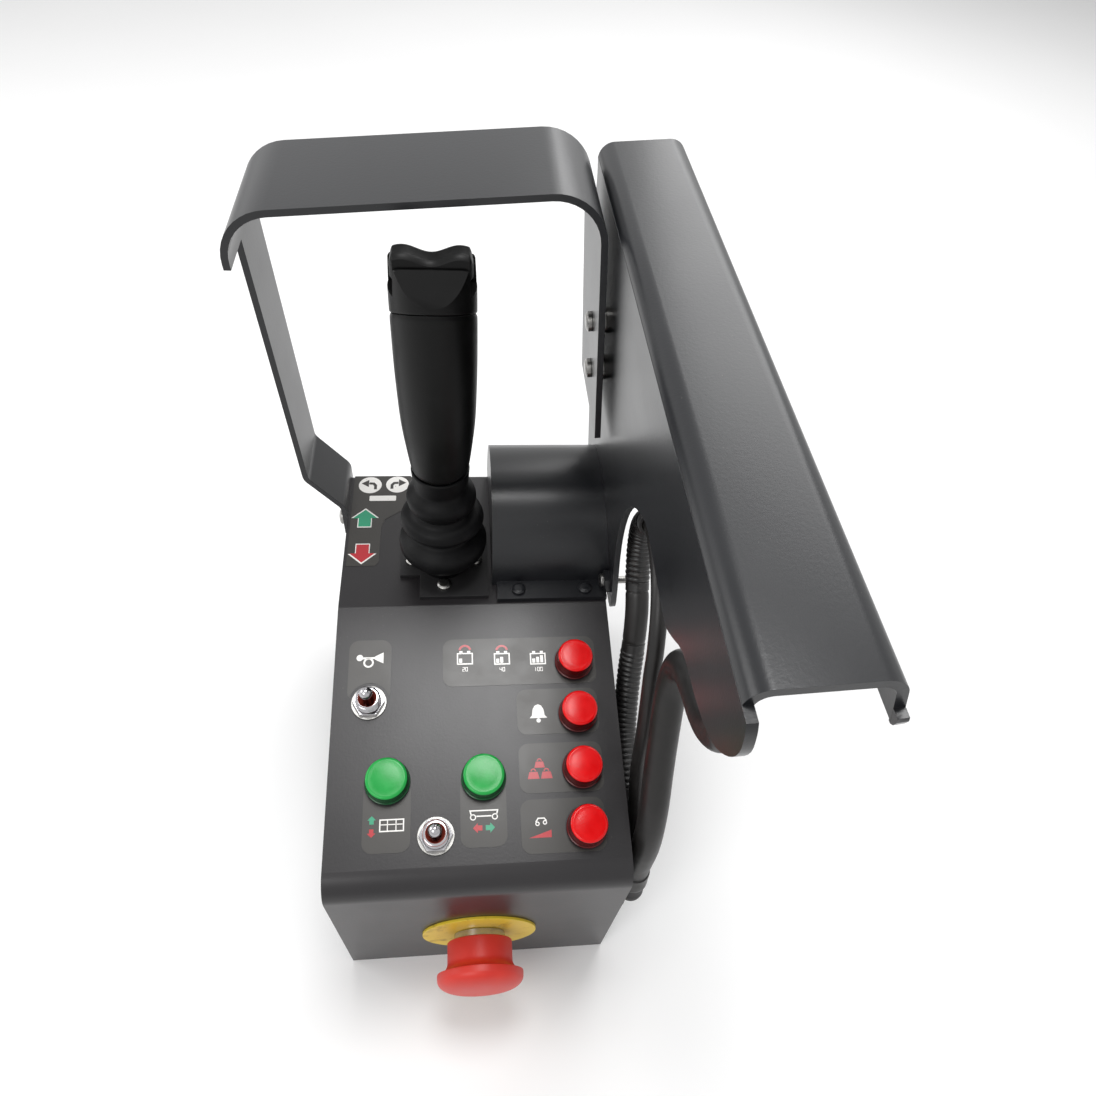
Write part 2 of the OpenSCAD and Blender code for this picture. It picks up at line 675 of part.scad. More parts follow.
module enable_trigger() color("#252527") from_base() {
    w = trigger_w - 2 * seat_gap;
    translate([stick_x, stick_y, 0]) difference() {
        along_x(-w / 2, w / 2) polygon([[trigger_inner, trigger_foot], [trigger_inner + pin_d, trigger_foot],
            [trigger_bulge, trigger_foot + (trigger_top - trigger_foot) / 4],
            [trigger_bulge, trigger_foot + (trigger_top - trigger_foot) / 2],
            [grip_r, trigger_top - pin_d], [trigger_pin_y + pin_d, trigger_top - pin_d / 2],
            [trigger_pin_y - pin_d, trigger_top - pin_d], [trigger_pin_y - pin_d, trigger_pin_z - pin_d],
            [trigger_inner, trigger_pin_z - 3 * pin_d]]);
        translate([-w, trigger_pin_y, trigger_pin_z]) rotate([0, 90, 0]) cylinder(d = pin_d + 2 * run, h = 2 * w);
    }
}

module trigger_pin() color("#b4b7bc") from_base() {
    l = trigger_w * 2;
    translate([stick_x - l / 2, stick_y + trigger_pin_y, trigger_pin_z]) rotate([0, 90, 0]) cylinder(d = pin_d, h = l);
}

// The half drum on the panel, with a foot along each side and an ear against the hook's plate
function drum_screw_at() = [for (s = [-1, 1]) for (k = [0, 1])
    [drum_foot_x + (k == 0 ? drum_foot_l : drum_foot_w - drum_foot_l), drum_y + s * (drum_r + drum_foot_l / 2)]];
drum_ear_at = [drum_y - drum_r - m4_head_d / 2, upper_h + drum_t + m4_head_d * 3 / 5];

module drum_cut() {
    leaning() translate([plate_x, -box_d, 0]) cube([box_w, box_d * 3, hook_top]);
}

module drum() color("#202124") from_base() {
    reach = half_w * 2;
    difference() {
        union() {
            translate([drum_x, drum_y, upper_h]) rotate([0, 90, 0]) cylinder(r = drum_r, h = reach - drum_x, $fn = 128);
            for (s = [-1, 1]) translate([drum_foot_x, drum_y + (s < 0 ? -drum_r - drum_foot_l : 0), upper_h])
                cube([drum_foot_w, drum_r + drum_foot_l, drum_t]);
            translate([half_w - drum_t / 2, drum_ear_at[0] - m4_head_d / 2, upper_h + over]) cube([drum_t * 4, m4_head_d, m4_head_d + drum_t]);
        }
        translate([drum_x + drum_t, drum_y, upper_h]) rotate([0, 90, 0]) cylinder(r = drum_r - drum_t, h = reach, $fn = 128);
        translate([0, 0, upper_h - 2 * drum_r]) cube([reach * 2, box_d * 2, 2 * drum_r]);
        drum_cut();
        for (p = drum_screw_at()) translate([p[0], p[1], upper_h]) rod(m4_d + 2 * slip, -over, drum_t + over);
        translate([half_w, drum_ear_at[0], drum_ear_at[1]]) rotate([0, 90, 0]) rod(m4_d + 2 * slip, -half_w / 2, half_w / 2);
    }
}

module drum_screws() color("#d5d8dc") from_base() {
    for (p = drum_screw_at()) translate([p[0], p[1], upper_h + drum_t]) pan_screw(m4_d, m4_head_d, m4_head_h, drum_t + sheet_t + m4_d);
    translate([half_w - drum_t / 2, drum_ear_at[0], drum_ear_at[1]]) rotate([0, -90, 0]) pan_screw(m4_d, m4_head_d, m4_head_h, drum_t * 5);
}

// Lower outline of the hook's plate, from its nose to its back: shares of the plate's reach and of its depth
plate_back = hook_y + hook_l;
hook_outline_shares = [[0.004, 0.00], [0.00, 0.02], [0.00, 0.06], [0.014, 0.11], [0.042, 0.165], [0.077, 0.20], [0.118, 0.218],
    [0.174, 0.233], [0.223, 0.291], [0.257, 0.32], [0.32, 0.311], [0.39, 0.301], [0.445, 0.34], [0.50, 0.408], [0.55, 0.505],
    [0.585, 0.626], [0.602, 0.748], [0.606, 0.893], [0.613, 0.971], [0.634, 1.00], [0.70, 1.00]];
module hook_side() {
    nose = hook_y - hook_nose;
    reach = plate_back + plate_heel - nose;
    top = hook_top - hook_bend_r;
    corner = [nose + reach - hook_bend_r, top - plate_drop + hook_bend_r];
    polygon(concat([[hook_y, top]],
        [for (p = run_of(hook_outline_shares, 3)) [nose + reach * p[0], top - plate_drop * p[1]]],
        [for (a = [0 : 15 : 90]) corner + hook_bend_r * [sin(a), -cos(a)]],
        [[nose + reach, top - plate_drop / 6], [plate_back, top - plate_heel], [plate_back, top]]));
}

// The small tab that the lip carries on its front end
module lip_tab() {
    polygon([[hook_y + over, 0], [hook_y + over, lip_h - 2 * hook_bend_r], [hook_y - tab_l, lip_h - 2 * hook_bend_r],
        [hook_y - tab_l, hook_bend_r], [hook_y - tab_l / 2, hook_bend_r / 3], [hook_y, 0]]);
}

module rail_hook() color("#1f2023") from_base() {
    lip_x = plate_x + hook_t + hook_gap;
    drop = lip_h - hook_t / 2;
    section = rounded([[plate_x + hook_t / 2, hook_top - 3 * hook_bend_r], [plate_x + hook_t / 2, hook_top - hook_t / 2],
        [lip_x + hook_t / 2, hook_top - hook_t / 2], [lip_x + hook_t / 2 + drop * tan(lip_splay), hook_top - hook_t / 2 - drop]],
        [hook_bend_r, hook_bend_r]);
    difference() {
        leaning() union() {
            along_y(hook_y, plate_back) band(section, hook_t);
            along_x(plate_x, plate_x + hook_t) hook_side();
            translate([lip_x + hook_t / 2, 0, hook_top - hook_t / 2]) rotate([0, -lip_splay, 0]) translate([-hook_t / 2, 0, -lip_h])
                along_x(run, hook_t - run) lip_tab();
        }
        leaning() for (z = guard_screw_z) translate([plate_x, guard_screw_y, z]) rotate([0, 90, 0]) rod(m5_d + 2 * slip, -over, hook_t + over);
        translate([half_w, drum_ear_at[0], drum_ear_at[1]]) rotate([0, 90, 0]) rod(m4_d + 2 * slip, 0, hook_gap / 2);
    }
}

module guard_bar() color("#24252a") from_base() {
    t = guard_t;
    left = plate_x - guard_reach;
    right = plate_x - spacer_t - t / 2;
    path = rounded([[-half_w - t / 2, guard_foot_z], [-half_w - t / 2, guard_foot_top], [-guard_joggle_x, guard_joggle_z],
        lean_pt([left, guard_top - t / 2]), lean_pt([right, guard_top - t / 2]), lean_pt([right, right_leg_foot])],
        [guard_foot_r, guard_foot_r, guard_bend_r, guard_bend_r], 10);
    difference() {
        along_y(guard_y, guard_y + guard_top_w) band(path, t);
        translate([-box_w, guard_y - over, 0]) cube([box_w, leg_y - guard_y + over, guard_notch_z]);
        leaning() for (z = guard_screw_z) translate([plate_x, guard_screw_y, z]) rotate([0, 90, 0])
            rod(m5_d + 2 * slip, -spacer_t - t - over, over);
        for (y = foot_screw_y) translate([-half_w, y, foot_screw_z]) rotate([0, -90, 0]) rod(m5_d + 2 * slip, -over, t + over);
    }
}

module guard_spacers() color("#8f9297") from_base() {
    leaning() for (z = guard_screw_z) translate([plate_x - spacer_t, guard_screw_y, z]) rotate([0, 90, 0])
        ring(spacer_d, m5_d + 2 * run, 0, spacer_t);
}

module guard_screws() color("#aeb1b6") from_base() {
    grip_l = guard_t + spacer_t + hook_t;
    leaning() for (z = guard_screw_z) translate([plate_x - spacer_t - guard_t, guard_screw_y, z]) rotate([0, -90, 0]) {
        pan_screw(m5_d, m5_head_d, m5_head_h, grip_l + m5_d);
        difference() {
            hex(m5_head_d, -grip_l - m5_d * 3 / 4, -grip_l);
            rod(m5_d, -hook_top, over);
        }
    }
}

module foot_screws() color("#aeb1b6") from_base() {
    for (y = foot_screw_y) translate([-half_w - guard_t, y, foot_screw_z]) rotate([0, -90, 0]) {
        pan_screw(m5_d, m5_head_d, m5_head_h, guard_t + sheet_t + m5_d);
        difference() {
            hex(m5_head_d, -guard_t - sheet_t - m5_d * 3 / 4, -guard_t - sheet_t);
            rod(m5_d, -hook_top, over);
        }
    }
}

// Elbow glands on the right wall: each turns a lead upwards along the wall
module elbow_glands() color("#161617") from_base() {
    for (g = GLANDS) translate([half_w, g[0], g[1]]) {
        rotate([0, 90, 0]) rod(gland_pipe_d, -sheet_t - gland_tail_l, lead_x - half_w);
        rotate([0, 90, 0]) hex(gland_hex_d, 0, gland_hex_t);
        translate([lead_x - half_w, 0, 0]) sphere(d = gland_d + 4 * slip);
        translate([lead_x - half_w, 0, 0]) rotate([g[2] - 90, 0, 0]) rod(gland_d, 0, gland_socket_l);
    }
}

module gland_nuts() color("#161617") from_base() {
    for (g = GLANDS) translate([half_w, g[0], g[1]]) rotate([0, 90, 0]) difference() {
        hex(gland_nut_d, -sheet_t - gland_nut_t, -sheet_t);
        rod(gland_pipe_d + 2 * run, -sheet_t - gland_nut_t - over, over);
    }
}

// Routes of the leads, from one gland's mouth to the next
function mouth(g) = [lead_x, g[0] + gland_socket_l * cos(g[2]), g[1] + gland_socket_l * sin(g[2])];
function past(g, d) = [lead_x, g[0] + (gland_socket_l + d) * cos(g[2]), g[1] + (gland_socket_l + d) * sin(g[2])];
function routed(p) = [for (q = p) [half_w + (q[0] - 72.2) * grown[0], q[1] * grown[1], q[2] * grown[2]]];
LEAD = concat([mouth(GLANDS[0]), past(GLANDS[0], 12)],
    routed([[80, 82, 122], [81, 94, 133], [82.5, 105, 146], [84, 114, 160], [85, 124, 175], [85, 135, 188], [85, 144, 203],
    [85, 146, 218], [85, 138, 230], [84, 120, 236], [83, 102, 234], [82, 88, 226], [81, 77, 213], [80, 69, 198],
    [80, 63, 181], [80, 57, 162], [80, 52, 142], [80, 44, 127], [80, 35, 114]]),
    [past(GLANDS[1], 12), mouth(GLANDS[1])]);
FEED = concat([mouth(GLANDS[2]), past(GLANDS[2], 16)],
    routed([[81, 19, 128], [82, 26, 150], [83, 38, 172], [84, 49, 194], [85, 57, 212], [86, 58, 226], [86, 50, 236],
    [86, 37, 242], [85, 24, 248], [84, 13, 256], [83, 5, 267], [81, 4, 280], [79, 11, 292],
    [77.5, 24, 300], [76.5, 42, 303.5], [76, 62, 304]]));

// A smooth run through the route's points
function spline(a, b, c, d, t) = 0.5 * ((2 * b) + (c - a) * t + (2 * a - 5 * b + 4 * c - d) * t * t + (3 * b - a - 3 * c + d) * t * t * t);
function run_of(p, per) = let (n = len(p)) concat([for (i = [0:n - 2]) for (j = [0:per - 1])
    spline(p[max(i - 1, 0)], p[i], p[i + 1], p[min(i + 2, n - 1)], j / per)], [p[n - 1]]);
function gone(p, i = 0, s = 0) = i == len(p) - 1 ? [s] : concat([s], gone(p, i + 1, s + norm(p[i + 1] - p[i])));
function place(p, g, s) = let (i = max([for (k = [0:len(p) - 2]) g[k] <= s ? k : 0])) p[i] + (p[i + 1] - p[i]) * min((s - g[i]) / (g[i + 1] - g[i]), 1);
function heading(p, g, s) = unit(place(p, g, min(s + 1, g[len(g) - 1])) - place(p, g, max(s - 1, 0)));

// Rings of a tube at the stations s, with a radius for each
function rings(p, g, stations, radii, sides) = [for (k = [0:len(stations) - 1]) let (c = place(p, g, stations[k]),
        t = heading(p, g, stations[k]), u = unit(cross(t, [1, 0, 0])), v = cross(u, t))
    for (j = [0:sides - 1]) c + radii[k] * (cos(360 * j / sides) * u + sin(360 * j / sides) * v)];
function skin(rows, sides, base, out) = [for (k = [0:rows - 2]) for (j = [0:sides - 1]) for (h = [0:1])
    let (a = base + k * sides + j, b = base + k * sides + (j + 1) % sides, c = a + sides, d = b + sides,
        f = h == 0 ? [a, b, d] : [a, d, c]) out ? f : [f[2], f[1], f[0]]];

module tube(p, stations, r, sides) {
    g = gone(p);
    n = len(stations);
    polyhedron(rings(p, g, stations, [for (s = stations) r], sides), concat(skin(n, sides, 0, true),
        [[for (j = [sides - 1:-1:0]) j]], [[for (j = [0:sides - 1]) (n - 1) * sides + j]]));
}

module sleeve(p, stations, radii, bore, sides) {
    g = gone(p);
    n = len(stations);
    m = n * sides;
    polyhedron(concat(rings(p, g, stations, radii, sides), rings(p, g, stations, [for (s = stations) bore], sides)),
        concat(skin(n, sides, 0, true), skin(n, sides, m, false),
        [for (j = [0:sides - 1]) let (k = (j + 1) % sides) for (f = [[j, m + j, m + k], [j, m + k, k]]) f],
        [for (j = [0:sides - 1]) let (k = (j + 1) % sides, e = (n - 1) * sides) for (f = [[e + j, e + k, m + e + k], [e + j, m + e + k, m + e + j]]) f]));
}

lead_sides = 8;
lead_run = run_of(LEAD, 4);
lead_gone = gone(lead_run);
lead_l = lead_gone[len(lead_gone) - 1];
feed_run = run_of(FEED, 4);
feed_gone = gone(feed_run);
feed_l = feed_gone[len(feed_gone) - 1];
lead_step = 6;
lower_l = 86;
sleeve_l = 28;
upper_l = 58;
conduit_bore = lead_d / 2 + seat_gap * 2;
rib_h = 0.8;
valley_r = conduit_d / 2 - rib_h;
sleeve_r = conduit_d / 2 - rib_h / 2;

function steps_of(a, b, step) = let (n = ceil((b - a) / step)) [for (i = [0:n]) a + (b - a) * i / n];
function ribbed(a, b) = let (s = steps_of(a, b, rib_pitch / 2)) [s, [for (i = [0:len(s) - 1]) i % 2 == 0 || i < 4 || i > len(s) - 5 ? valley_r : conduit_d / 2]];

module lead_cable() color("#121213") from_base() tube(lead_run, steps_of(0, lead_l, lead_step), lead_d / 2, lead_sides);
module conduit_lower() color("#1a1a1b") from_base() {
    q = ribbed(0, lower_l);
    sleeve(lead_run, q[0], q[1], conduit_bore, lead_sides);
}
module conduit_sleeve() color("#1e1e20") from_base() {
    s = steps_of(lower_l, lower_l + sleeve_l, lead_step);
    sleeve(lead_run, s, [for (x = s) sleeve_r], conduit_bore, lead_sides);
}
module conduit_upper() color("#1a1a1b") from_base() {
    q = ribbed(lower_l + sleeve_l, lower_l + sleeve_l + upper_l);
    sleeve(lead_run, q[0], q[1], conduit_bore, lead_sides);
}
module feed_hose() color("#1c1c1d") from_base() tube(feed_run, steps_of(0, feed_l, lead_step), feed_d / 2, 10);

// The clip on the plate's outer face that holds the hose, and the plug on the hose's end
clip_w = 12;
clip_t = 1.5;
plug_l = 34;
plug_d = 20;
clip_at = FEED[len(FEED) - 2];
clip_screw_rise = 14;
clip_r = feed_d / 2 + seat_gap;
function plate_outer(z) = plate_x + hook_t - (z - lean_z) * tan(bracket_lean);
module clip_screw_axis() {
    z = clip_at[2] + clip_screw_rise;
    translate([plate_outer(z), clip_at[1], z]) rotate([0, 90 - bracket_lean, 0]) children();
}
module feed_clip() color("#8d9095") from_base() {
    difference() {
        union() {
            translate(clip_at) rotate([90, 0, 0]) rod(2 * clip_r + 2 * clip_t, -clip_w / 2, clip_w / 2);
            translate([plate_x - hook_gap, clip_at[1] - clip_w / 2, clip_at[2]])
                cube([hook_gap + hook_t + clip_t * 3, clip_w, clip_screw_rise + clip_w / 2]);
        }
        translate(clip_at) rotate([90, 0, 0]) rod(2 * clip_r, -clip_w, clip_w);
        leaning() translate([-box_w, -box_d, 0]) cube([box_w + plate_x + hook_t, 2 * box_d, hook_top]);
        leaning() translate([plate_x + hook_t + clip_t, -box_d, clip_at[2] + clip_r + clip_t])
            cube([hook_gap, 2 * box_d, hook_top]);
    }
    clip_screw_axis() translate([0, 0, clip_t / 2]) cylinder(d1 = m4_head_d, d2 = m4_d, h = m4_head_h);
}
module feed_plug() color("#151516") from_base() {
    e = FEED[len(FEED) - 1];
    f = feed_run[len(feed_run) - 2];
    t = unit(e - f);
    translate(e) rotate([-90 + atan2(t[2], t[1]), 0, 0]) {
        rod(feed_d + 2 * clip_t, 0, plug_l / 3);
        rod(plug_d, plug_l / 3, plug_l);
    }
}

// Board inside the box, on standoffs from the base
board_w = 100;
board_l = 90;
board_t = 1.6;
board_y = 100;
standoff_h = 10;
standoff_d = 6;
standoff_in = 6;
stud_d = 3;
terminal_w = 70;
terminal_l = 12;
terminal_h = 14;
module circuit_board() color("#1e5b33") from_base() {
    translate([-board_w / 2, board_y, sheet_t + standoff_h]) difference() {
        cube([board_w, board_l, board_t]);
        for (x = [standoff_in, board_w - standoff_in]) for (y = [standoff_in, board_l - standoff_in])
            translate([x, y, 0]) rod(stud_d + 2 * slip, -over, board_t + over);
    }
}
module standoffs() color("#c9a64a") from_base() {
    for (x = [standoff_in, board_w - standoff_in]) for (y = [standoff_in, board_l - standoff_in])
        translate([x - board_w / 2, board_y + y, sheet_t]) {
            rod(standoff_d, 0, standoff_h);
            rod(stud_d, standoff_h - over, standoff_h + board_t);
            rod(standoff_d, standoff_h + board_t, standoff_h + board_t * 2);
        }
}
module terminal_block() color("#2c7a49") from_base() {
    translate([-terminal_w / 2, board_y + board_l - terminal_l * 2, sheet_t + standoff_h + board_t]) cube([terminal_w, terminal_l, terminal_h]);
}

box_shell();
base_plate();
base_gasket();
base_screws();
stop_disc();
stop_bezel();
stop_nut();
stop_plunger();
stop_button();
contact_block();
horn_switch();
horn_lever();
mode_switch();
mode_lever();
toggle_nuts();
toggle_washers();
lamp_lens(LAMPS[0]);  // battery_lamp_lens
lamp_lens(LAMPS[1]);  // warning_lamp_lens
lamp_lens(LAMPS[2]);  // overload_lamp_lens
lamp_lens(LAMPS[3]);  // tilt_lamp_lens
lamp_lens(LAMPS[4]);  // lift_lamp_lens
lamp_lens(LAMPS[5]);  // drive_lamp_lens
lamp_body(LAMPS[0]);  // battery_lamp_body
lamp_body(LAMPS[1]);  // warning_lamp_body
lamp_body(LAMPS[2]);  // overload_lamp_body
lamp_body(LAMPS[3]);  // tilt_lamp_body
lamp_body(LAMPS[4]);  // lift_lamp_body
lamp_body(LAMPS[5]);  // drive_lamp_body
lamp_nuts();
joystick_plate();
joystick_screws();
gimbal_housing();
stick_axle();
stick_shaft();
boot();
grip_body();
grip_head();
steering_rocker();
rocker_pin();
enable_trigger();
trigger_pin();
drum();
drum_screws();
rail_hook();
guard_bar();
guard_screws();
foot_screws();
elbow_glands();
guard_spacers();
gland_nuts();
lead_cable();
conduit_lower();
conduit_sleeve();
conduit_upper();
feed_hose();
feed_clip();
feed_plug();
circuit_board();
standoffs();
terminal_block();
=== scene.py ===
"""Scissor lift control box: a painted steel case with lamps, toggles, a stop button and a guarded joystick.

The file follows the box as it is put together. Lengths are millimetres until a mesh is made, and metres in
Blender.
"""
import math

import bmesh
import bpy
import numpy as np
from mathutils import Matrix, Vector


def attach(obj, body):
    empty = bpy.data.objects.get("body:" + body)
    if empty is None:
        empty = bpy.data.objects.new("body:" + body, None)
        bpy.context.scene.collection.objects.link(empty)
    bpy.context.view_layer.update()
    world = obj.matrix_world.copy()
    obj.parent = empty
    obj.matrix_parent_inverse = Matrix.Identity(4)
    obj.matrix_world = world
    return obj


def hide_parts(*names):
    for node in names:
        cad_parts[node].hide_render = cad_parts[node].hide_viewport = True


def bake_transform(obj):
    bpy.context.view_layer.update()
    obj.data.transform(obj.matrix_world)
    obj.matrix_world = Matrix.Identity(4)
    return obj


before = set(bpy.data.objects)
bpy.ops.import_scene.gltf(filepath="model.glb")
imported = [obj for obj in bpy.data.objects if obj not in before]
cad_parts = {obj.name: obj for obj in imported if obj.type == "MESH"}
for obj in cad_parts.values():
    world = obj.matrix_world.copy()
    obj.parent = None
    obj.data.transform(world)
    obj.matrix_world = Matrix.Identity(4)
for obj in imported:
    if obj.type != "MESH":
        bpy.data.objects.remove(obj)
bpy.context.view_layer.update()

# The camera stands over the operator's side and looks down on the panel, with a wide lens, as a hand-held
# picture of the box on a table is taken.
IMAGE_PX = 1096
FOCAL_PX = 819.2
SENSOR_MM = 36
eye = (-0.005735, -0.250014, 0.520652)
right = np.array([0.99452265, -0.07859094, 0.06890692])
down = np.array([-0.01504589, -0.76004121, -0.64970069])
ahead = np.array([0.10343269, 0.64510528, -0.75706067])
camera = bpy.data.objects.new("camera", bpy.data.cameras.new("camera"))
camera.data.sensor_width = SENSOR_MM
camera.data.lens = FOCAL_PX / IMAGE_PX * SENSOR_MM
camera.data.clip_start = 0.01
turned_view = Matrix([[right[i], -down[i], -ahead[i]] for i in range(3)]).to_4x4()
camera.matrix_world = Matrix.Translation(eye) @ turned_view
bpy.context.scene.collection.objects.link(camera)
bpy.context.scene.camera = camera


# The case: two millimetre steel sheet, folded over the sloping panel and welded at the sides, with a satin
# powder coat whose fine orange peel and dust show in the light. A working copy of each CAD solid gets its
# edges broken.
class Wire:
    """One value on its way through a material. Sums and products of wires add Math nodes."""

    def __init__(self, finish, socket):
        self.finish, self.socket = finish, socket

    def math(self, operation, other):
        return self.finish.add("ShaderNodeMath", {"operation": operation}, {0: self, 1: other})

    def __add__(self, other):
        return self.math("ADD", other)

    def __mul__(self, other):
        return self.math("MULTIPLY", other)

    def clipped(self):
        return self.finish.add("ShaderNodeClamp", {}, {"Value": self})

    __radd__, __rmul__ = __add__, __mul__


class Finish:
    """A procedural material built round one Principled shader."""

    def __init__(self, name, **plain):
        self.material = bpy.data.materials.new(name)
        self.material.use_nodes = True
        self.tree = self.material.node_tree
        self.shader = self.tree.nodes["Principled BSDF"]
        for key, value in plain.items():
            self.shader.inputs[key.replace("_", " ")].default_value = value

    def add(self, kind, settings, inputs, out=0):
        node = self.tree.nodes.new(kind)
        for key, value in settings.items():
            setattr(node, key, value)
        for key, value in inputs.items():
            self.feed(node.inputs[key], value)
        return Wire(self, node.outputs[out])

    def feed(self, socket, value):
        if isinstance(value, Wire):
            self.tree.links.new(value.socket, socket)
        else:
            socket.default_value = value

    def place(self, scale=(1, 1, 1), turn=(0, 0, 0)):
        spot = self.add("ShaderNodeTexCoord", {}, {}, "Object")
        return self.add("ShaderNodeMapping", {}, {"Vector": spot, "Scale": scale, "Rotation": turn})

    def noise(self, size_mm, detail=3.0, rough=0.5, stretch=(1, 1, 1)):
        values = {"Vector": self.place(stretch), "Scale": 1000 / size_mm}
        return self.add("ShaderNodeTexNoise", {}, values | {"Detail": detail, "Roughness": rough})

    def cells(self, size_mm):
        return self.add("ShaderNodeTexVoronoi", {}, {"Vector": self.place(), "Scale": 1000 / size_mm})

    def blend(self, share, first, second):
        """The colour first where share is 0 and second where it is 1."""
        node = self.tree.nodes.new("ShaderNodeMix")
        node.data_type = "RGBA"
        self.feed(node.inputs["Factor"], share)
        self.feed(node.inputs[6], first)
        self.feed(node.inputs[7], second)
        return Wire(self, node.outputs[2])

    def stepped(self, value, low, high):
        return self.add("ShaderNodeMapRange", {"interpolation_type": "SMOOTHSTEP"},
                        {"Value": value, "From Min": low, "From Max": high})

    def bumps(self, height, depth_mm, strength=1.0):
        values = {"Height": height, "Distance": depth_mm / 1000, "Strength": strength}
        self.set(Normal=self.add("ShaderNodeBump", {}, values))

    def set(self, **sockets):
        for key, value in sockets.items():
            self.feed(self.shader.inputs[key.replace("_", " ")], value)


def shade(red, green, blue):
    """A colour as it is seen, 0 to 255, turned into the linear values that a shader takes."""
    seen = np.array([red, green, blue]) / 255
    return (*np.where(seen <= 0.04045, seen / 12.92, ((seen + 0.055) / 1.055) ** 2.4), 1)


def dressed(node, finish, body="box", edge=0.4, crease=35, segments=2):
    """The CAD solid with its corners welded, its flats made single faces and its sharp edges rounded."""
    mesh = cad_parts[node].data.copy()
    mesh.name = node + "_finished"
    work = bmesh.new()
    work.from_mesh(mesh)
    bmesh.ops.remove_doubles(work, verts=work.verts, dist=2e-6)
    bmesh.ops.dissolve_limit(work, angle_limit=math.radians(0.6), verts=work.verts, edges=work.edges)
    work.to_mesh(mesh)
    work.free()
    mesh.materials.clear()
    mesh.materials.append(finish.material)
    mesh.shade_smooth()
    mesh.set_sharp_from_angle(angle=math.radians(crease))
    piece = bpy.data.objects.new(node + "_finished", mesh)
    bpy.context.scene.collection.objects.link(piece)
    if edge:
        bevel = piece.modifiers.new("broken_edges", "BEVEL")
        bevel.width = edge / 1000
        bevel.segments = segments
        bevel.limit_method = "ANGLE"
        bevel.angle_limit = math.radians(crease)
        bevel.harden_normals = True
    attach(piece, body)
    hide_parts(node)
    return piece


def powder_coat(name, tint, cloud, rough):
    """Satin powder coat: a dark tint clouded by a paler one, with orange peel, dust and rubbed patches."""
    coat = Finish(name, Specular_IOR_Level=0.44)
    clouds = coat.noise(70, 4, 0.55)
    streaks = coat.noise(30, 3, 0.5, (1, 0.25, 1))
    specks = coat.stepped(coat.cells(2.6), 0.10, 0.03) * coat.stepped(coat.noise(18, 3), 0.50, 0.66)
    body_colour = coat.blend(clouds, tint, cloud)
    coat.set(Base_Color=coat.blend(specks * 0.35, body_colour, shade(120, 118, 112)),
             Roughness=(rough + 0.10 * clouds + 0.06 * streaks + 0.2 * specks).clipped())
    peel = coat.noise(1.3, 2, 0.5) + 0.5 * coat.noise(0.55, 2, 0.5)
    coat.bumps(peel, 0.055, 0.5)
    return coat


case_paint = powder_coat("case_powder_coat", shade(22, 21, 24), shade(38, 35, 36), 0.25)
dressed("box_shell", case_paint, edge=1.1, segments=3)

# The bottom plate closes the shell. It is the same painted sheet, and a gasket of plain black rubber, cut
# from flat sheet, is squeezed between the two.
dressed("base_plate", case_paint, edge=0.3)
gasket = Finish("gasket_rubber", Specular_IOR_Level=0.3)
gasket.set(Base_Color=gasket.blend(gasket.noise(5), shade(16, 16, 16), shade(30, 30, 29)),
           Roughness=0.6 + 0.2 * gasket.noise(2))
dressed("base_gasket", gasket, edge=0)

# Fasteners are bright zinc plated steel, a little yellowed and blurred, with faint turning marks. They hold
# the bottom plate, the guard, the brackets' feet and the joystick's plate.
zinc = Finish("zinc_plate", Metallic=1.0)
haze = zinc.noise(3.2, 4, 0.6)
zinc.set(Base_Color=zinc.blend(haze, shade(128, 128, 130), shade(178, 176, 170)),
         Roughness=0.20 + 0.22 * haze)
zinc.bumps(zinc.noise(0.35, 2), 0.012, 0.5)
for node in ("base_screws", "guard_screws", "foot_screws", "guard_spacers", "joystick_screws",
             "feed_clip", "toggle_washers"):
    dressed(node, zinc, edge=0.25, crease=30)

# The stop button's stem and nut, the stick with its axle, and the grip's pins are turned from plain steel,
# which keeps fine lines from the tool.
steel = Finish("turned_steel", Metallic=1.0)
lines = steel.noise(0.9, 2, 0.5, (1, 1, 6))
steel.set(Base_Color=steel.blend(lines, shade(150, 152, 156), shade(196, 198, 200)),
          Roughness=0.26 + 0.16 * lines)
steel.bumps(lines, 0.01, 0.4)
for node, body in (("stop_nut", "box"), ("stop_plunger", "stop_stem"), ("stick_axle", "stick"),
                   ("stick_shaft", "stick"), ("rocker_pin", "stick"), ("trigger_pin", "stick")):
    dressed(node, steel, body, edge=0.2)


# The label patches are glossy black vinyl with rounded corners, and their signs are printed on them in white,
# red and green. Every sign here is a plain one drawn for this box.
BASE_Y = 124.5  # places along the box are measured from the panel's front edge, this far before the origin
FRONT_H, TOP_H, SLOPE_RUN = 132, 162.5, 140.5
SLOPE = math.atan2(TOP_H - FRONT_H, SLOPE_RUN)


def on_slope(flat, height):
    """Points (across, up the slope) raised off the sloping panel by height."""
    x, s = np.asarray(flat, float).T
    return np.stack([x, s * math.cos(SLOPE) - height * math.sin(SLOPE) - BASE_Y,
                     FRONT_H + s * math.sin(SLOPE) + height * math.cos(SLOPE)], axis=1)


def on_top(flat, height):
    """Points (across, back) raised off the level upper panel by height."""
    x, y = np.asarray(flat, float).T
    return np.stack([x, y - BASE_Y, np.full(len(x), TOP_H + height)], axis=1)


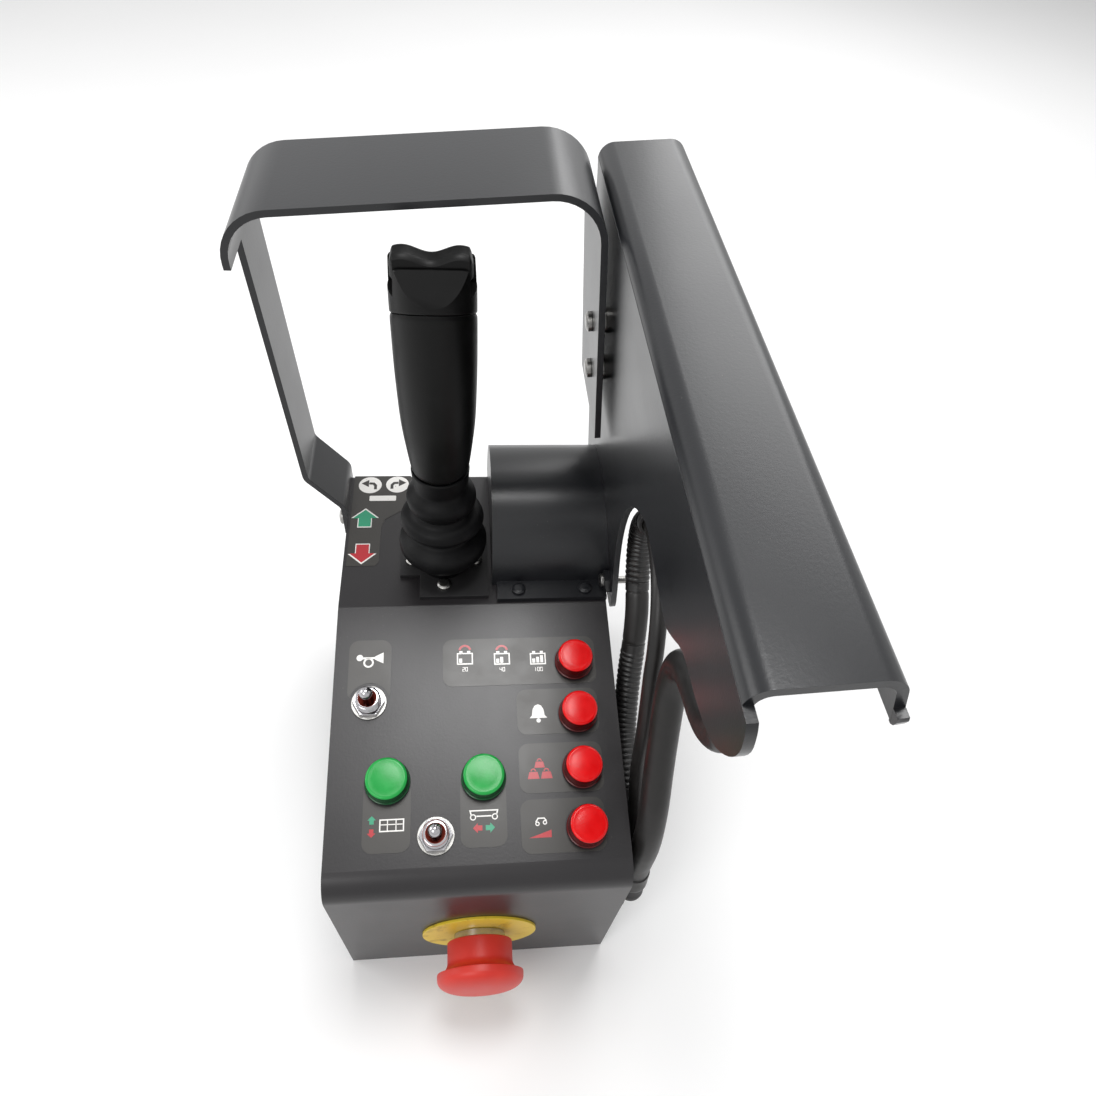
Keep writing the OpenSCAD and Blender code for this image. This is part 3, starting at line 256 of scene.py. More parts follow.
def piece_of(name, points_mm, faces, finish, slot, body="box", replaces=(), smooth=True, crease=40):
    """A finished piece from points in millimetres: closed, facing outwards, and riding on its body. One that
    is spread between two bodies is given none here."""
    mesh = bpy.data.meshes.new(name)
    mesh.from_pydata((np.asarray(points_mm) / 1000).tolist(), [], [list(map(int, f)) for f in faces])
    work = bmesh.new()
    work.from_mesh(mesh)
    bmesh.ops.remove_doubles(work, verts=work.verts, dist=1e-6)
    bmesh.ops.dissolve_degenerate(work, edges=work.edges, dist=1e-7)
    bmesh.ops.recalc_face_normals(work, faces=work.faces)
    work.to_mesh(mesh)
    work.free()
    if smooth:
        mesh.shade_smooth()
        mesh.set_sharp_from_angle(angle=math.radians(crease))
    mesh.materials.append(finish.material)
    piece = bpy.data.objects.new(name, mesh)
    bpy.context.scene.collection.objects.link(piece)
    if body:
        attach(piece, body)
    if replaces:
        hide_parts(*replaces)
    return piece


def slab(name, outlines, frame_of, low, high, finish, slot):
    """Thin solids: each flat outline is drawn from the height low to the height high on its panel."""
    points, faces, base = [], [], 0
    for outline in outlines:
        n = len(outline)
        points += [frame_of(outline, low), frame_of(outline, high)]
        j = np.arange(n)
        k = (j + 1) % n
        faces += [(base + j[::-1]).tolist(), (base + n + j).tolist()]
        faces += (np.stack([j, k, k + n, j + n], axis=1) + base).tolist()
        base += 2 * n
    return piece_of(name, np.vstack(points), faces, finish, slot, smooth=False)


def rounded_patch(x0, s0, x1, s1, radius=5.0, steps=8):
    """A rectangle between two corners, each corner turned round an arc."""
    turn = np.linspace(0, np.pi / 2, steps)
    spots = ((x1 - radius, s1 - radius, 0), (x0 + radius, s1 - radius, 1), (x0 + radius, s0 + radius, 2),
             (x1 - radius, s0 + radius, 3))
    return np.vstack([np.stack([cx + radius * np.cos(turn + q * np.pi / 2),
                                cy + radius * np.sin(turn + q * np.pi / 2)], axis=1) for cx, cy, q in spots])


def stroke(points, width):
    """A line of even width through the points, its corners mitred."""
    p = np.asarray(points, float)
    step = np.diff(p, axis=0)
    step /= np.linalg.norm(step, axis=1)[:, None]
    before, after = np.vstack([step[:1], step]), np.vstack([step, step[-1:]])
    out = np.stack([-(before + after)[:, 1], (before + after)[:, 0]], axis=1)
    out /= np.linalg.norm(out, axis=1)[:, None]
    lean = np.maximum((out * np.stack([-after[:, 1], after[:, 0]], axis=1)).sum(1), 0.3)
    out *= (width / 2 / lean)[:, None]
    return np.vstack([p + out, (p - out)[::-1]])


def disc(x, y, radius, steps=20):
    """A round outline."""
    turn = np.linspace(0, 2 * np.pi, steps, endpoint=False)
    return np.stack([x + radius * np.cos(turn), y + radius * np.sin(turn)], axis=1)


def arc(x, y, radius, start, end, width, steps=16):
    """A bent line along part of a circle, between two angles in degrees."""
    turn = np.radians(np.linspace(start, end, steps))
    return stroke(np.stack([x + radius * np.cos(turn), y + radius * np.sin(turn)], axis=1), width)


def hoop(x, y, radius, width, steps=24):
    """A ring in two halves, so that each stays one plain outline."""
    return [arc(x, y, radius, 0, 180, width, steps), arc(x, y, radius, 180, 360, width, steps)]


def moved(outlines, x, y, size=1.0):
    """The outlines scaled and set down at a place."""
    return [np.asarray(o, float) * size + (x, y) for o in outlines]


DIGITS = {"0": [[(0, 0), (0, 2), (1, 2), (1, 0), (0, 0)]], "1": [[(0.5, 0), (0.5, 2)]],
          "2": [[(0, 2), (1, 2), (1, 1), (0, 1), (0, 0), (1, 0)]],
          "4": [[(0, 2), (0, 1), (1, 1)], [(1, 2), (1, 0)]]}


def figures(word, x, y, size):
    """Plain stick figures of a number, centred under a sign."""
    shift = -len(word) * 0.75 + 0.25
    return [stroke((np.array(line, float) + (shift + 1.5 * k, -1)) * size + (x, y), 0.3)
            for k, digit in enumerate(word) for line in DIGITS[digit]]


def arrow(x, y, size, heading):
    """A block arrow: a stem and a triangular head, turned to its heading in degrees."""
    shape = np.array([(-0.28, -0.5), (0.28, -0.5), (0.28, 0.02), (0.55, 0.02), (0, 0.55), (-0.55, 0.02),
                      (-0.28, 0.02)])
    turn = math.radians(heading)
    spin = np.array([[math.cos(turn), -math.sin(turn)], [math.sin(turn), math.cos(turn)]])
    return shape * size @ spin.T + (x, y)


vinyl = Finish("label_vinyl", Specular_IOR_Level=0.5)
smear = vinyl.noise(14, 4, 0.6)
vinyl.set(Base_Color=vinyl.blend(smear, shade(42, 40, 37), shade(52, 49, 45)), Roughness=0.26 + 0.16 * smear)


def print_ink(name, colour, worn):
    """Printed ink on vinyl: nearly flat, with small rubbed spots where the ground shows through."""
    ink = Finish(name, Specular_IOR_Level=0.5)
    rubbed = ink.stepped(ink.noise(1.6, 4, 0.6), 0.62, 0.78)
    ink.set(Base_Color=ink.blend(rubbed * worn, colour, shade(70, 68, 68)), Roughness=0.28 + 0.2 * rubbed)
    return ink


white_ink = print_ink("white_ink", shade(240, 238, 234), 0.6)
red_ink = print_ink("red_ink", shade(178, 34, 44), 0.5)
green_ink = print_ink("green_ink", shade(38, 150, 112), 0.4)
# A patch starts one lap above the paint, and its ink one lap inside the patch
PATCH_H, INK_H, LAP = 0.16, 0.08, 0.02
patches = [rounded_patch(-65.0, 91.7, -43.5, 124.3), rounded_patch(-16.9, 97.6, 63.0, 123.5),
           rounded_patch(20.4, 71.2, 62.1, 94.8), rounded_patch(20.2, 42.3, 61.9, 66.7),
           rounded_patch(19.9, 14.4, 60.6, 39.4), rounded_patch(-54.7, 18.2, -32.3, 52.2),
           rounded_patch(-8.8, 18.6, 13.3, 52.6)]


def drilled(name, outlines, holes):
    """The label patches, cut out round the lamps and toggles that pass through them."""
    piece = slab(name, outlines, on_slope, LAP, PATCH_H, vinyl, "lamp_black")
    rounds = [disc(x, s, r, 48) for x, s, r in holes]
    cutters = slab("patch_cutters", rounds, on_slope, -1, 2, vinyl, "lamp_black")
    cut = piece.modifiers.new("holes", "BOOLEAN")
    cut.object, cut.operation, cut.solver = cutters, "DIFFERENCE", "EXACT"
    bpy.context.view_layer.update()
    ready = bpy.data.meshes.new_from_object(piece.evaluated_get(bpy.context.evaluated_depsgraph_get()))
    piece.modifiers.clear()
    piece.data = ready
    bpy.data.objects.remove(cutters)
    return piece


RED_X, RED_S, RED_STEP = 51.4, 25.4, 27.9
red_names = ("tilt", "overload", "warning", "battery")
red_lamps = [(name, RED_X, RED_S + k * RED_STEP) for k, name in enumerate(red_names)]
green_lamps = [("lift", -43.5, 50.8), ("drive", 2.7, 50.8)]
toggles = [("horn", -53.9, 90.5), ("mode", -20.3, 24.8)]
RED_HOLE_R, GREEN_HOLE_R, TOGGLE_HOLE_R = 10.6, 11.6, 10.4
through = ((red_lamps, RED_HOLE_R), (green_lamps, GREEN_HOLE_R), (toggles, TOGGLE_HOLE_R))
drilled("label_patches", patches, [(x, s, radius) for spots, radius in through for _, x, s in spots])

white_signs = []
# Horn: a rubber bulb, a coiled tube and a flared bell
white_signs += moved([np.array([(1.2, 0.9), (4.6, 2.6), (4.6, -2.0), (1.2, -0.3)])], -53.4, 114.0, 1.3)
white_signs += moved([stroke([(-3.6, 0.3), (1.2, 0.3)], 0.8)] + hoop(-1.2, -1.6, 1.7, 0.7)
                     + [disc(-4.7, 0.5, 1.3)], -53.4, 114.0, 1.3)
# Battery states: a cell with two posts and one, two or three bars, over its number
for x, s, bars, word in ((-5.5, 112.6, 1, "20"), (13.8, 112.0, 2, "40"), (32.7, 111.5, 3, "100")):
    cell = [stroke([(-3.2, -2.4), (-3.2, 2.4), (3.2, 2.4), (3.2, -2.4), (-3.2, -2.4), (-3.2, -2.3)], 0.55),
            rounded_patch(-2.4, 2.7, -1.0, 3.6, 0.2, 3), rounded_patch(1.0, 2.7, 2.4, 3.6, 0.2, 3)]
    cell += [rounded_patch(-2.5 + 1.75 * k, -1.8, -1.2 + 1.75 * k, 0.1 + 0.75 * k, 0.15, 3)
             for k in range(bars)]
    white_signs += moved(cell, x, s, 1.2) + figures(word, x, s - 5.8, 1.0)
# A bell, for the warning lamp
bell = [np.array([(-3.2, -2.2), (3.2, -2.2), (2.3, -1.2), (2.0, 1.0), (1.2, 2.4), (0, 2.9), (-1.2, 2.4),
                  (-2.0, 1.0), (-2.3, -1.2)]), disc(0, -3.1, 0.8, 14)]
white_signs += moved(bell, 31.2, 82.7, 1.4)
# Cart on a slope, platform with rails, and a low chassis on wheels
cart = [stroke([(-2.6, 1.2), (-1.4, 2.9), (1.6, 2.9), (2.6, 1.6)], 0.6)]
white_signs += moved(cart + hoop(-1.8, 0.4, 0.8, 0.5) + hoop(1.8, 0.9, 0.8, 0.5), 29.6, 27.6)
rails = [stroke([(-5.5, -2.6), (-5.5, 2.6), (5.5, 2.6), (5.5, -2.6), (-5.5, -2.6), (-5.5, -2.5)], 0.6),
         stroke([(-5.1, 0.4), (5.1, 0.4)], 0.45), stroke([(-2, -2.3), (-2, 2.3)], 0.45),
         stroke([(2, -2.3), (2, 2.3)], 0.45)]
white_signs += moved(rails, -41.0, 30.6)
chassis = [stroke([(-6.0, -0.6), (-6.6, 1.6), (6.6, 1.6), (6.0, -0.6)], 0.6),
           stroke([(-3.6, -1.0), (3.6, -1.0)], 0.6)]
white_signs += moved(chassis + hoop(-5.2, -1.4, 1.2, 0.5) + hoop(5.2, -1.4, 1.2, 0.5), 2.4, 33.8)
slab("white_signs", white_signs, on_slope, PATCH_H - LAP, PATCH_H + INK_H, white_ink, "lamp_black")

red_signs = moved([np.array([(-5.4, -3.0), (5.4, -3.0), (5.4, 0.4)])], 28.9, 24.6)
for x, s, size in ((-2.8, -2.4, 1.0), (2.6, -2.4, 1.0), (-0.1, 1.9, 0.9)):
    weight = [np.array([(-2.4, -1.6), (2.4, -1.6), (1.7, 1.2), (-1.7, 1.2)]), arc(0, 1.5, 0.9, 0, 180, 0.5)]
    red_signs += moved([o * size * 1.2 for o in map(np.asarray, weight)], 30.5 + 1.2 * x, 54.0 + 1.2 * s)
red_signs += [arc(x, s, 2.8, 10, 170, 1.1) for x, s in ((-5.5, 117.0), (13.8, 116.4))]
red_signs += [arrow(-0.6, 27.4, 4.2, 90), arrow(-50.4, 27.4, 3.6, 180)]
slab("red_signs", red_signs, on_slope, PATCH_H - LAP, PATCH_H + INK_H, red_ink, "lamp_black")
slab("green_signs", [arrow(5.2, 27.4, 4.2, -90), arrow(-50.4, 33.2, 3.6, 0)], on_slope, PATCH_H - LAP,
     PATCH_H + INK_H, green_ink, "lamp_black")

upper_patch = np.array([(-70.4, 168.5), (-54.6, 168.5), (-52.6, 171), (-52.6, 197), (-50.7, 203.4),
                        (-42.2, 209.7), (-36.6, 212), (-34.6, 215), (-34.6, 236), (-37, 239.4), (-70.4, 239.4)])
slab("upper_label", [upper_patch], on_top, LAP, PATCH_H, vinyl, "lamp_black")
turn_discs = [disc(-60.8, 231.6, 6.8, 40), disc(-44.6, 232.0, 6.8, 40)]
slab("turn_discs", turn_discs + [rounded_patch(-60.6, 218.4, -45.0, 222.6, 0.6, 4)], on_top, PATCH_H - LAP,
     PATCH_H + INK_H, white_ink, "lamp_black")
turns = []
for x, y, way in ((-60.8, 231.6, 1), (-44.6, 232.0, -1)):
    turns.append(stroke([(x + way * 3.2, y - 3.6), (x + way * 3.2, y - 0.4), (x + way * 2.0, y + 1.2),
                         (x - way * 0.6, y + 1.4)], 1.7))
    turns.append(np.array([(x - way * 5.2, y + 1.4), (x - way * 0.8, y + 4.4), (x - way * 0.8, y - 1.6)]))
slab("turn_arrows", turns, on_top, PATCH_H + INK_H - LAP, PATCH_H + 2 * INK_H, vinyl, "lamp_black")
slab("arrow_edges", [arrow(-62.2, 204.4, 14.4, 0), arrow(-62.1, 177.6, 14.4, 180)], on_top, PATCH_H - LAP,
     PATCH_H + INK_H, white_ink, "lamp_black")
for name, outline, ink in (("up_arrow", arrow(-62.2, 204.2, 12.6, 0), green_ink),
                           ("down_arrow", arrow(-62.1, 177.8, 12.6, 180), red_ink)):
    slab(name, [outline], on_top, PATCH_H, PATCH_H + 2 * INK_H, ink, "lamp_black")


# Indicator lamps: a black moulded body and nut behind the panel, and a coloured acrylic lens with a rounded
# rim, a flat face and a faint cloud of diffuser grain under it.
def skin(rows, columns, closed_round=True):
    """Quads over a grid of points, each row joined to the next."""
    last = columns if closed_round else columns - 1
    k, j = np.meshgrid(np.arange(rows - 1), np.arange(last), indexing="ij")
    a, b = k * columns + j, k * columns + (j + 1) % columns
    return np.stack([a, b, b + columns, a + columns], axis=-1).reshape(-1, 4)


def turned(name, profile, finish, slot, centre, axis, sides=96, **more):
    """A turned piece: the profile of (radius, height) is carried round an axis from its centre."""
    profile = np.asarray(profile, float)
    axis = np.asarray(axis, float) / np.linalg.norm(axis)
    first = np.cross(axis, [1.0, 0, 0]) if abs(axis[0]) < 0.9 else np.cross(axis, [0, 1.0, 0])
    first /= np.linalg.norm(first)
    second = np.cross(axis, first)
    turn = np.linspace(0, 2 * np.pi, sides, endpoint=False)
    ring = np.cos(turn)[None, :, None] * first + np.sin(turn)[None, :, None] * second
    points = np.asarray(centre) + profile[:, :1, None] * ring + profile[:, 1:, None] * axis
    return piece_of(name, points.reshape(-1, 3), skin(len(profile), sides).tolist(), finish, slot, **more)


def lens_finish(name, deep, bright):
    """Clear acrylic over a moulded diffuser, clouded between a deep and a bright tone. A darker copy of it is
    painted shade on the lens sides.
    """
    lens = Finish(name, Specular_IOR_Level=0.28)
    cloud = lens.noise(5, 3)
    lens.set(Base_Color=lens.blend(cloud, deep, bright), Roughness=0.16 + 0.1 * cloud)
    lens.bumps(lens.noise(1.5, 2), 0.03, 0.35)
    return lens


slope_axis = np.array([0, -math.sin(SLOPE), math.cos(SLOPE)])
red_lens = lens_finish("red_acrylic", shade(206, 3, 7), shade(234, 9, 14))
# The side colours are darker copies of the lens colours: painted shade for the lens sides, which turn away from
# the light.
red_lens_side_shade = lens_finish("red_acrylic_side_painted_shade", shade(62, 3, 5), shade(96, 5, 8))
green_lens = lens_finish("green_acrylic", shade(18, 142, 58), shade(40, 170, 78))
green_lens_side_shade = lens_finish("green_acrylic_side_painted_shade", shade(6, 62, 30), shade(14, 86, 44))
lamp_black = Finish("black_moulding", Specular_IOR_Level=0.35)
grain = lamp_black.noise(0.8, 2)
lamp_black.set(Base_Color=lamp_black.blend(lamp_black.noise(12, 4), shade(20, 20, 21), shade(34, 33, 34)),
               Roughness=0.42 + 0.16 * grain)
lamp_black.bumps(grain, 0.03, 0.5)
for lamps, radius, height, face_finish, side_shade_finish, slot in (
        (red_lamps, 10.0, 11.0, red_lens, red_lens_side_shade, "lens_red"),
        (green_lamps, 11.0, 9.0, green_lens, green_lens_side_shade, "lens_green")):
    for name, x, s in lamps:
        foot = on_slope([(x, s)], 0)[0]
        turn = np.linspace(0, np.pi / 2, 8)
        rim = 1.5
        flank = [(0, 0.82), (radius - 0.05, 0.82), (radius, 1.1), (radius - 0.1, 1.7), (radius - 0.55, 1.9),
                 (radius - 0.75, height - rim - 0.8)]
        shoulder = [(radius - 1.0 - rim * (1 - math.cos(t)), height - rim + (rim - 0.25) * math.sin(t))
                    for t in turn]
        face = [(radius - 1.0 - rim - 0.3, height - 0.28), (radius * 0.55, height - 0.1), (0, height)]
        lens = turned(f"{name}_lens", flank + shoulder + face, face_finish, slot, foot, slope_axis, 80,
                      replaces=[f"{name}_lamp_lens"], crease=50)
        # Every face below the lens's flat face takes the darker copy: painted shade on the lens sides.
        lens.data.materials.append(side_shade_finish.material)
        across = np.array([p.center for p in lens.data.polygons]) * 1000 - foot
        tall = across @ slope_axis
        lens.data.polygons.foreach_set("material_index", (tall < height - 1.0).astype(np.int32))
        dressed(f"{name}_lamp_body", lamp_black, edge=0.15)

# The lock nuts, the glands and the plug, and the joystick's housing and plate are moulded in the same black
# nylon as the lamp bodies. The lock nuts hold the lamps and the glands from inside.
for node in ("lamp_nuts", "gland_nuts", "gimbal_housing"):
    dressed(node, lamp_black, edge=0.3)
dressed("elbow_glands", lamp_black, edge=0.35, crease=30)
dressed("feed_plug", lamp_black, edge=0.6, crease=30)
dressed("joystick_plate", lamp_black, edge=0.4)


# Toggle switches: a chromed bushing with its thread showing, a chromed hexagon nut over a washer, and a plated
# bat lever with a ball end. The switch body under the panel is red-brown phenolic.
def smooth_run(points, per):
    """A Catmull-Rom curve through the points, with per steps from each point to the next."""
    p = np.asarray(points, float)
    before, after = np.vstack([p[:1], p[:-2]]), np.vstack([p[2:], p[-1:]])
    a, b, c, d = (q[:, None, :] for q in (before, p[:-1], p[1:], after))
    t = (np.arange(per) / per)[None, :, None]
    run = 0.5 * (2 * b + (c - a) * t + (2 * a - 5 * b + 4 * c - d) * t**2 + (3 * b - a - 3 * c + d) * t**3)
    return np.vstack([run.reshape(-1, p.shape[1]), p[-1:]])


chrome = Finish("chrome_plate", Metallic=1.0)
veil = chrome.noise(6, 4, 0.6)
chrome.set(Base_Color=chrome.blend(veil, shade(150, 150, 154), shade(196, 194, 196)),
           Roughness=0.08 + 0.12 * veil)
chrome.bumps(chrome.noise(2.2, 2), 0.012, 0.4)
phenolic = Finish("red_phenolic", Specular_IOR_Level=0.45)
mottle = phenolic.noise(2.4, 5, 0.65)
phenolic.set(Base_Color=phenolic.blend(mottle, shade(120, 42, 32), shade(158, 66, 50)),
             Roughness=0.38 + 0.2 * mottle)
dressed("toggle_nuts", chrome, edge=0.35, crease=25)
BUSHING_R, BUSHING_H, LEVER_H = 6.0, 8.5, 19.0
for name, x, s in toggles:
    foot = on_slope([(x, s)], 0)[0]
    dressed(f"{name}_switch", phenolic, edge=0.3)
    pitch, depth = 0.9, 0.42
    at = np.arange(3.6, BUSHING_H, pitch / 6)
    wave = 0.5 + 0.5 * np.cos(2 * np.pi * at / pitch)
    thread = [(BUSHING_R - 0.05, 3.45)] + [(BUSHING_R + 0.25 - depth * (1 - w), h) for h, w in zip(at, wave)]
    thread += [(BUSHING_R - 0.35, BUSHING_H + 0.08), (4.75, BUSHING_H + 0.08), (4.6, BUSHING_H - 0.25),
               (4.2, 6.2), (5.0, 5.4), (BUSHING_R - 0.05, 5.2), (BUSHING_R - 0.05, 3.45)]
    turned(f"{name}_bushing_thread", thread, chrome, "chrome", foot, slope_axis, 64, crease=60)
    ball_r, neck = 3.2, 1.75
    turn = np.linspace(-math.pi * 0.30, math.pi / 2, 20)
    shank = smooth_run([(neck, -1.0), (neck, 4), (neck + 0.1, 8.5), (neck + 0.5, 11.5), (2.5, 13.6)], 5)
    ball = [(ball_r * math.cos(t), LEVER_H - ball_r + ball_r * math.sin(t)) for t in turn]
    turned(f"{name}_bat_lever", [(0, -1.0)] + shank.tolist() + ball, chrome, "chrome", foot, slope_axis, 56,
           body=f"{name}_toggle", replaces=[f"{name}_lever"], crease=60)

# The stop button: a yellow plastic disc under a chromed bezel, and a red moulded mushroom head on a collar
# that slides over the bezel. Its steel stem drives the contact block inside the case.
FACE_OUT, STOP_Z = 7.5, 54.5
FACE_LEAN = math.atan2(FACE_OUT, FRONT_H)
stop_foot = np.array([0, FACE_OUT * (1 - STOP_Z / FRONT_H) - BASE_Y, STOP_Z])
stop_axis = np.array([0, -math.cos(FACE_LEAN), -math.sin(FACE_LEAN)])
yellow = Finish("yellow_disc", Specular_IOR_Level=0.5)
grime = yellow.noise(8, 5, 0.65)
soiled = yellow.stepped(grime, 0.5, 0.75)
yellow.set(Base_Color=yellow.blend(soiled, shade(226, 196, 52), shade(176, 146, 40)),
           Roughness=0.34 + 0.2 * grime)
yellow.bumps(yellow.noise(1.2, 2), 0.02, 0.4)
dressed("stop_disc", yellow, edge=0.3)
dressed("stop_bezel", chrome, edge=0.5)
red_moulding = Finish("red_moulding", Specular_IOR_Level=0.45)
bloom = red_moulding.noise(11, 4, 0.6)
red_moulding.set(Base_Color=red_moulding.blend(bloom, shade(192, 34, 24), shade(210, 52, 38)),
                 Roughness=0.36 + 0.16 * bloom)
red_moulding.bumps(red_moulding.noise(0.9, 2), 0.025, 0.45)
collar_r, bore_r, head_r, foot_h, roof_h, reach = 17.0, 13.8, 22.25, 5.5, 18.4, 30.0
flare, rim_r = 18.0, 5.25
curve = np.linspace(0, np.pi / 2, 14)
head = [(0, roof_h), (bore_r, roof_h), (bore_r, foot_h), (collar_r - 0.6, foot_h), (collar_r, foot_h + 0.5),
        (collar_r, flare - rim_r / 2 - 0.6)]
head += [(collar_r + rim_r * (1 - math.cos(t)), flare - rim_r / 2 + rim_r * math.sin(t)) for t in curve]
head += [(head_r + 0.12, flare + 3.4), (head_r, flare + rim_r + 0.4)]
dome = np.linspace(0.06, np.pi / 2, 22)
crown_h = reach - flare - rim_r
head += [(head_r * math.cos(t) ** 0.62, flare + rim_r + crown_h * math.sin(t)) for t in dome[:-1]]
turned("stop_mushroom", head + [(0, reach)], red_moulding, "stop_red", stop_foot, stop_axis, 112,
       body="stop_head", replaces=["stop_button"], crease=50)

# Inside the case: the green moulded contact and terminal blocks, and a lacquered board with its copper
# tracks, which stands on turned brass standoffs.
block_green = Finish("contact_moulding", Specular_IOR_Level=0.4)
speck = block_green.noise(2, 4)
block_green.set(Base_Color=block_green.blend(speck, shade(44, 100, 58), shade(60, 122, 74)),
                Roughness=0.4 + 0.2 * speck)
for node in ("contact_block", "terminal_block"):
    dressed(node, block_green, edge=0.5)
board = Finish("board_lacquer", Specular_IOR_Level=0.5)
bands = board.add("ShaderNodeTexWave", {"wave_type": "BANDS"},
                  {"Vector": board.place(), "Scale": 90.0, "Distortion": 6.0}, "Fac")
tracks = board.stepped(bands, 0.55, 0.6)
board.set(Base_Color=board.blend(tracks, shade(22, 78, 44), shade(48, 116, 62)),
          Roughness=0.26 + 0.1 * tracks)
dressed("circuit_board", board, edge=0.15)
brass = Finish("turned_brass", Metallic=1.0)
ring_marks = brass.noise(1.2, 2, 0.5, (1, 1, 6))
brass.set(Base_Color=brass.blend(ring_marks, shade(190, 152, 84), shade(214, 178, 104)),
          Roughness=0.22 + 0.2 * ring_marks)
dressed("standoffs", brass, edge=0.15)

# The joystick: a moulded rubber boot with three bellows over the gimbal, and a black nylon grip whose head
# carries a steering rocker with two humps. A seam runs round under the head, and a finger trigger lies in the
# back.
STICK = np.array([-16.2, 169.4 - BASE_Y, 0])
UP = (0, 0, 1)
boot_rubber = Finish("boot_rubber", Specular_IOR_Level=0.14)
chalk = boot_rubber.noise(7, 5, 0.6)
dusted = boot_rubber.stepped(chalk, 0.45, 0.8)
boot_rubber.set(Base_Color=boot_rubber.blend(dusted, shade(6, 6, 7), shade(15, 15, 16)),
                Roughness=0.40 + 0.2 * chalk)
boot_rubber.bumps(boot_rubber.noise(0.8, 2), 0.03, 0.5)
BOOT_R, BOOT_LOW, BOOT_HIGH, BOOT_WALL = 23.3, 165.0, 237.2, 1.6
boot_shares = [(0.56, 0.00), (0.60, 0.06), (0.78, 0.13), (0.93, 0.19), (1.00, 0.25), (0.97, 0.31),
               (0.82, 0.36), (0.70, 0.39), (0.70, 0.42), (0.82, 0.46), (0.92, 0.50), (0.92, 0.53),
               (0.85, 0.57), (0.70, 0.60), (0.64, 0.63), (0.66, 0.65), (0.74, 0.69), (0.76, 0.74),
               (0.72, 0.78), (0.62, 0.82), (0.58, 0.85), (0.60, 0.91), (0.62, 1.00)]
outside = smooth_run([(BOOT_R * r, BOOT_LOW + (BOOT_HIGH - BOOT_LOW) * h) for r, h in boot_shares], 5)
inside = outside[::-1] - (BOOT_WALL, 0)
mouth_r, lip_top = BOOT_R * boot_shares[-1][0], BOOT_HIGH + 0.25
lip = [(mouth_r - 0.5, lip_top), (mouth_r - 1.1, lip_top)]
boot_wall = np.vstack([outside, lip, inside, outside[:1]])
boot = turned("boot_bellows", boot_wall, boot_rubber, "boot_rubber", STICK, UP, 112, body=None,
              replaces=["boot"], crease=80)
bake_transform(boot)

grip_plastic = Finish("grip_nylon", Specular_IOR_Level=0.16)
worn = grip_plastic.stepped(grip_plastic.noise(16, 5, 0.6), 0.45, 0.8)
texture = grip_plastic.noise(0.55, 2, 0.5)
grip_plastic.set(Base_Color=grip_plastic.blend(worn, shade(9, 9, 9), shade(18, 18, 18)),
                 Roughness=0.36 + 0.12 * worn + 0.08 * texture)
grip_plastic.bumps(texture, 0.03, 0.45)
GRIP_R, GRIP_LOW, GRIP_TOP, SEAM_Z, SEAM_LEAN = 18.1, 237.5, 350.0, 325.0, math.radians(29)
grip_shares = [(0.74, 0.00), (0.79, 0.03), (0.86, 0.12), (0.95, 0.27), (0.985, 0.42), (1.00, 0.56),
               (1.00, 0.70), (0.995, 0.80), (0.985, 0.90), (0.955, 1.00)]
grip_line = smooth_run([(GRIP_R * r, GRIP_LOW + (GRIP_TOP - GRIP_LOW) * h) for r, h in grip_shares], 8)


def grip_radius(z):
    """The grip's radius at a height, read off its smooth outline."""
    return np.interp(z, grip_line[:, 1], grip_line[:, 0])


def grip_shell(name, low, high, close_low, close_high, rows, node):
    """A skin round the grip between two leaning edges: low and high give the edge's height for each way,
    each row lies a share of the way between them, and its radius is read off the grip's outline at that
    height."""
    sides, rounding, fade, cap_shares = 120, 0.55, 1.6, (0.02, 0.35, 0.7, 0.93)
    turn = np.linspace(0, 2 * np.pi, sides, endpoint=False)
    c, s = np.cos(turn), np.sin(turn)
    share = np.linspace(0, 1, rows)[:, None]
    z = low(s)[None, :] * (1 - share) + high(s)[None, :] * share
    edge = np.minimum(share, 1 - share) * rows
    r = grip_radius(z) - rounding * np.exp(-edge * fade)
    ring = np.stack([r * c, r * s, z], axis=-1)
    rings = [np.stack([r[0] * f * c, r[0] * f * s, close_low(f * r[0] * s)], axis=-1) for f in cap_shares]
    tops = [np.stack([r[-1] * f * c, r[-1] * f * s, close_high(f * r[-1] * s)], axis=-1)
            for f in cap_shares[::-1]]
    grid = np.concatenate([np.array(rings), ring, np.array(tops)])
    faces = skin(len(grid), sides).tolist()
    faces += [list(range(sides)), list(range((len(grid) - 1) * sides, len(grid) * sides))]
    points = grid.reshape(-1, 3) + STICK
    return piece_of(name, points, faces, grip_plastic, "grip_plastic", body="stick", replaces=[node],
                    crease=50)


seam_slope = math.tan(SEAM_LEAN)


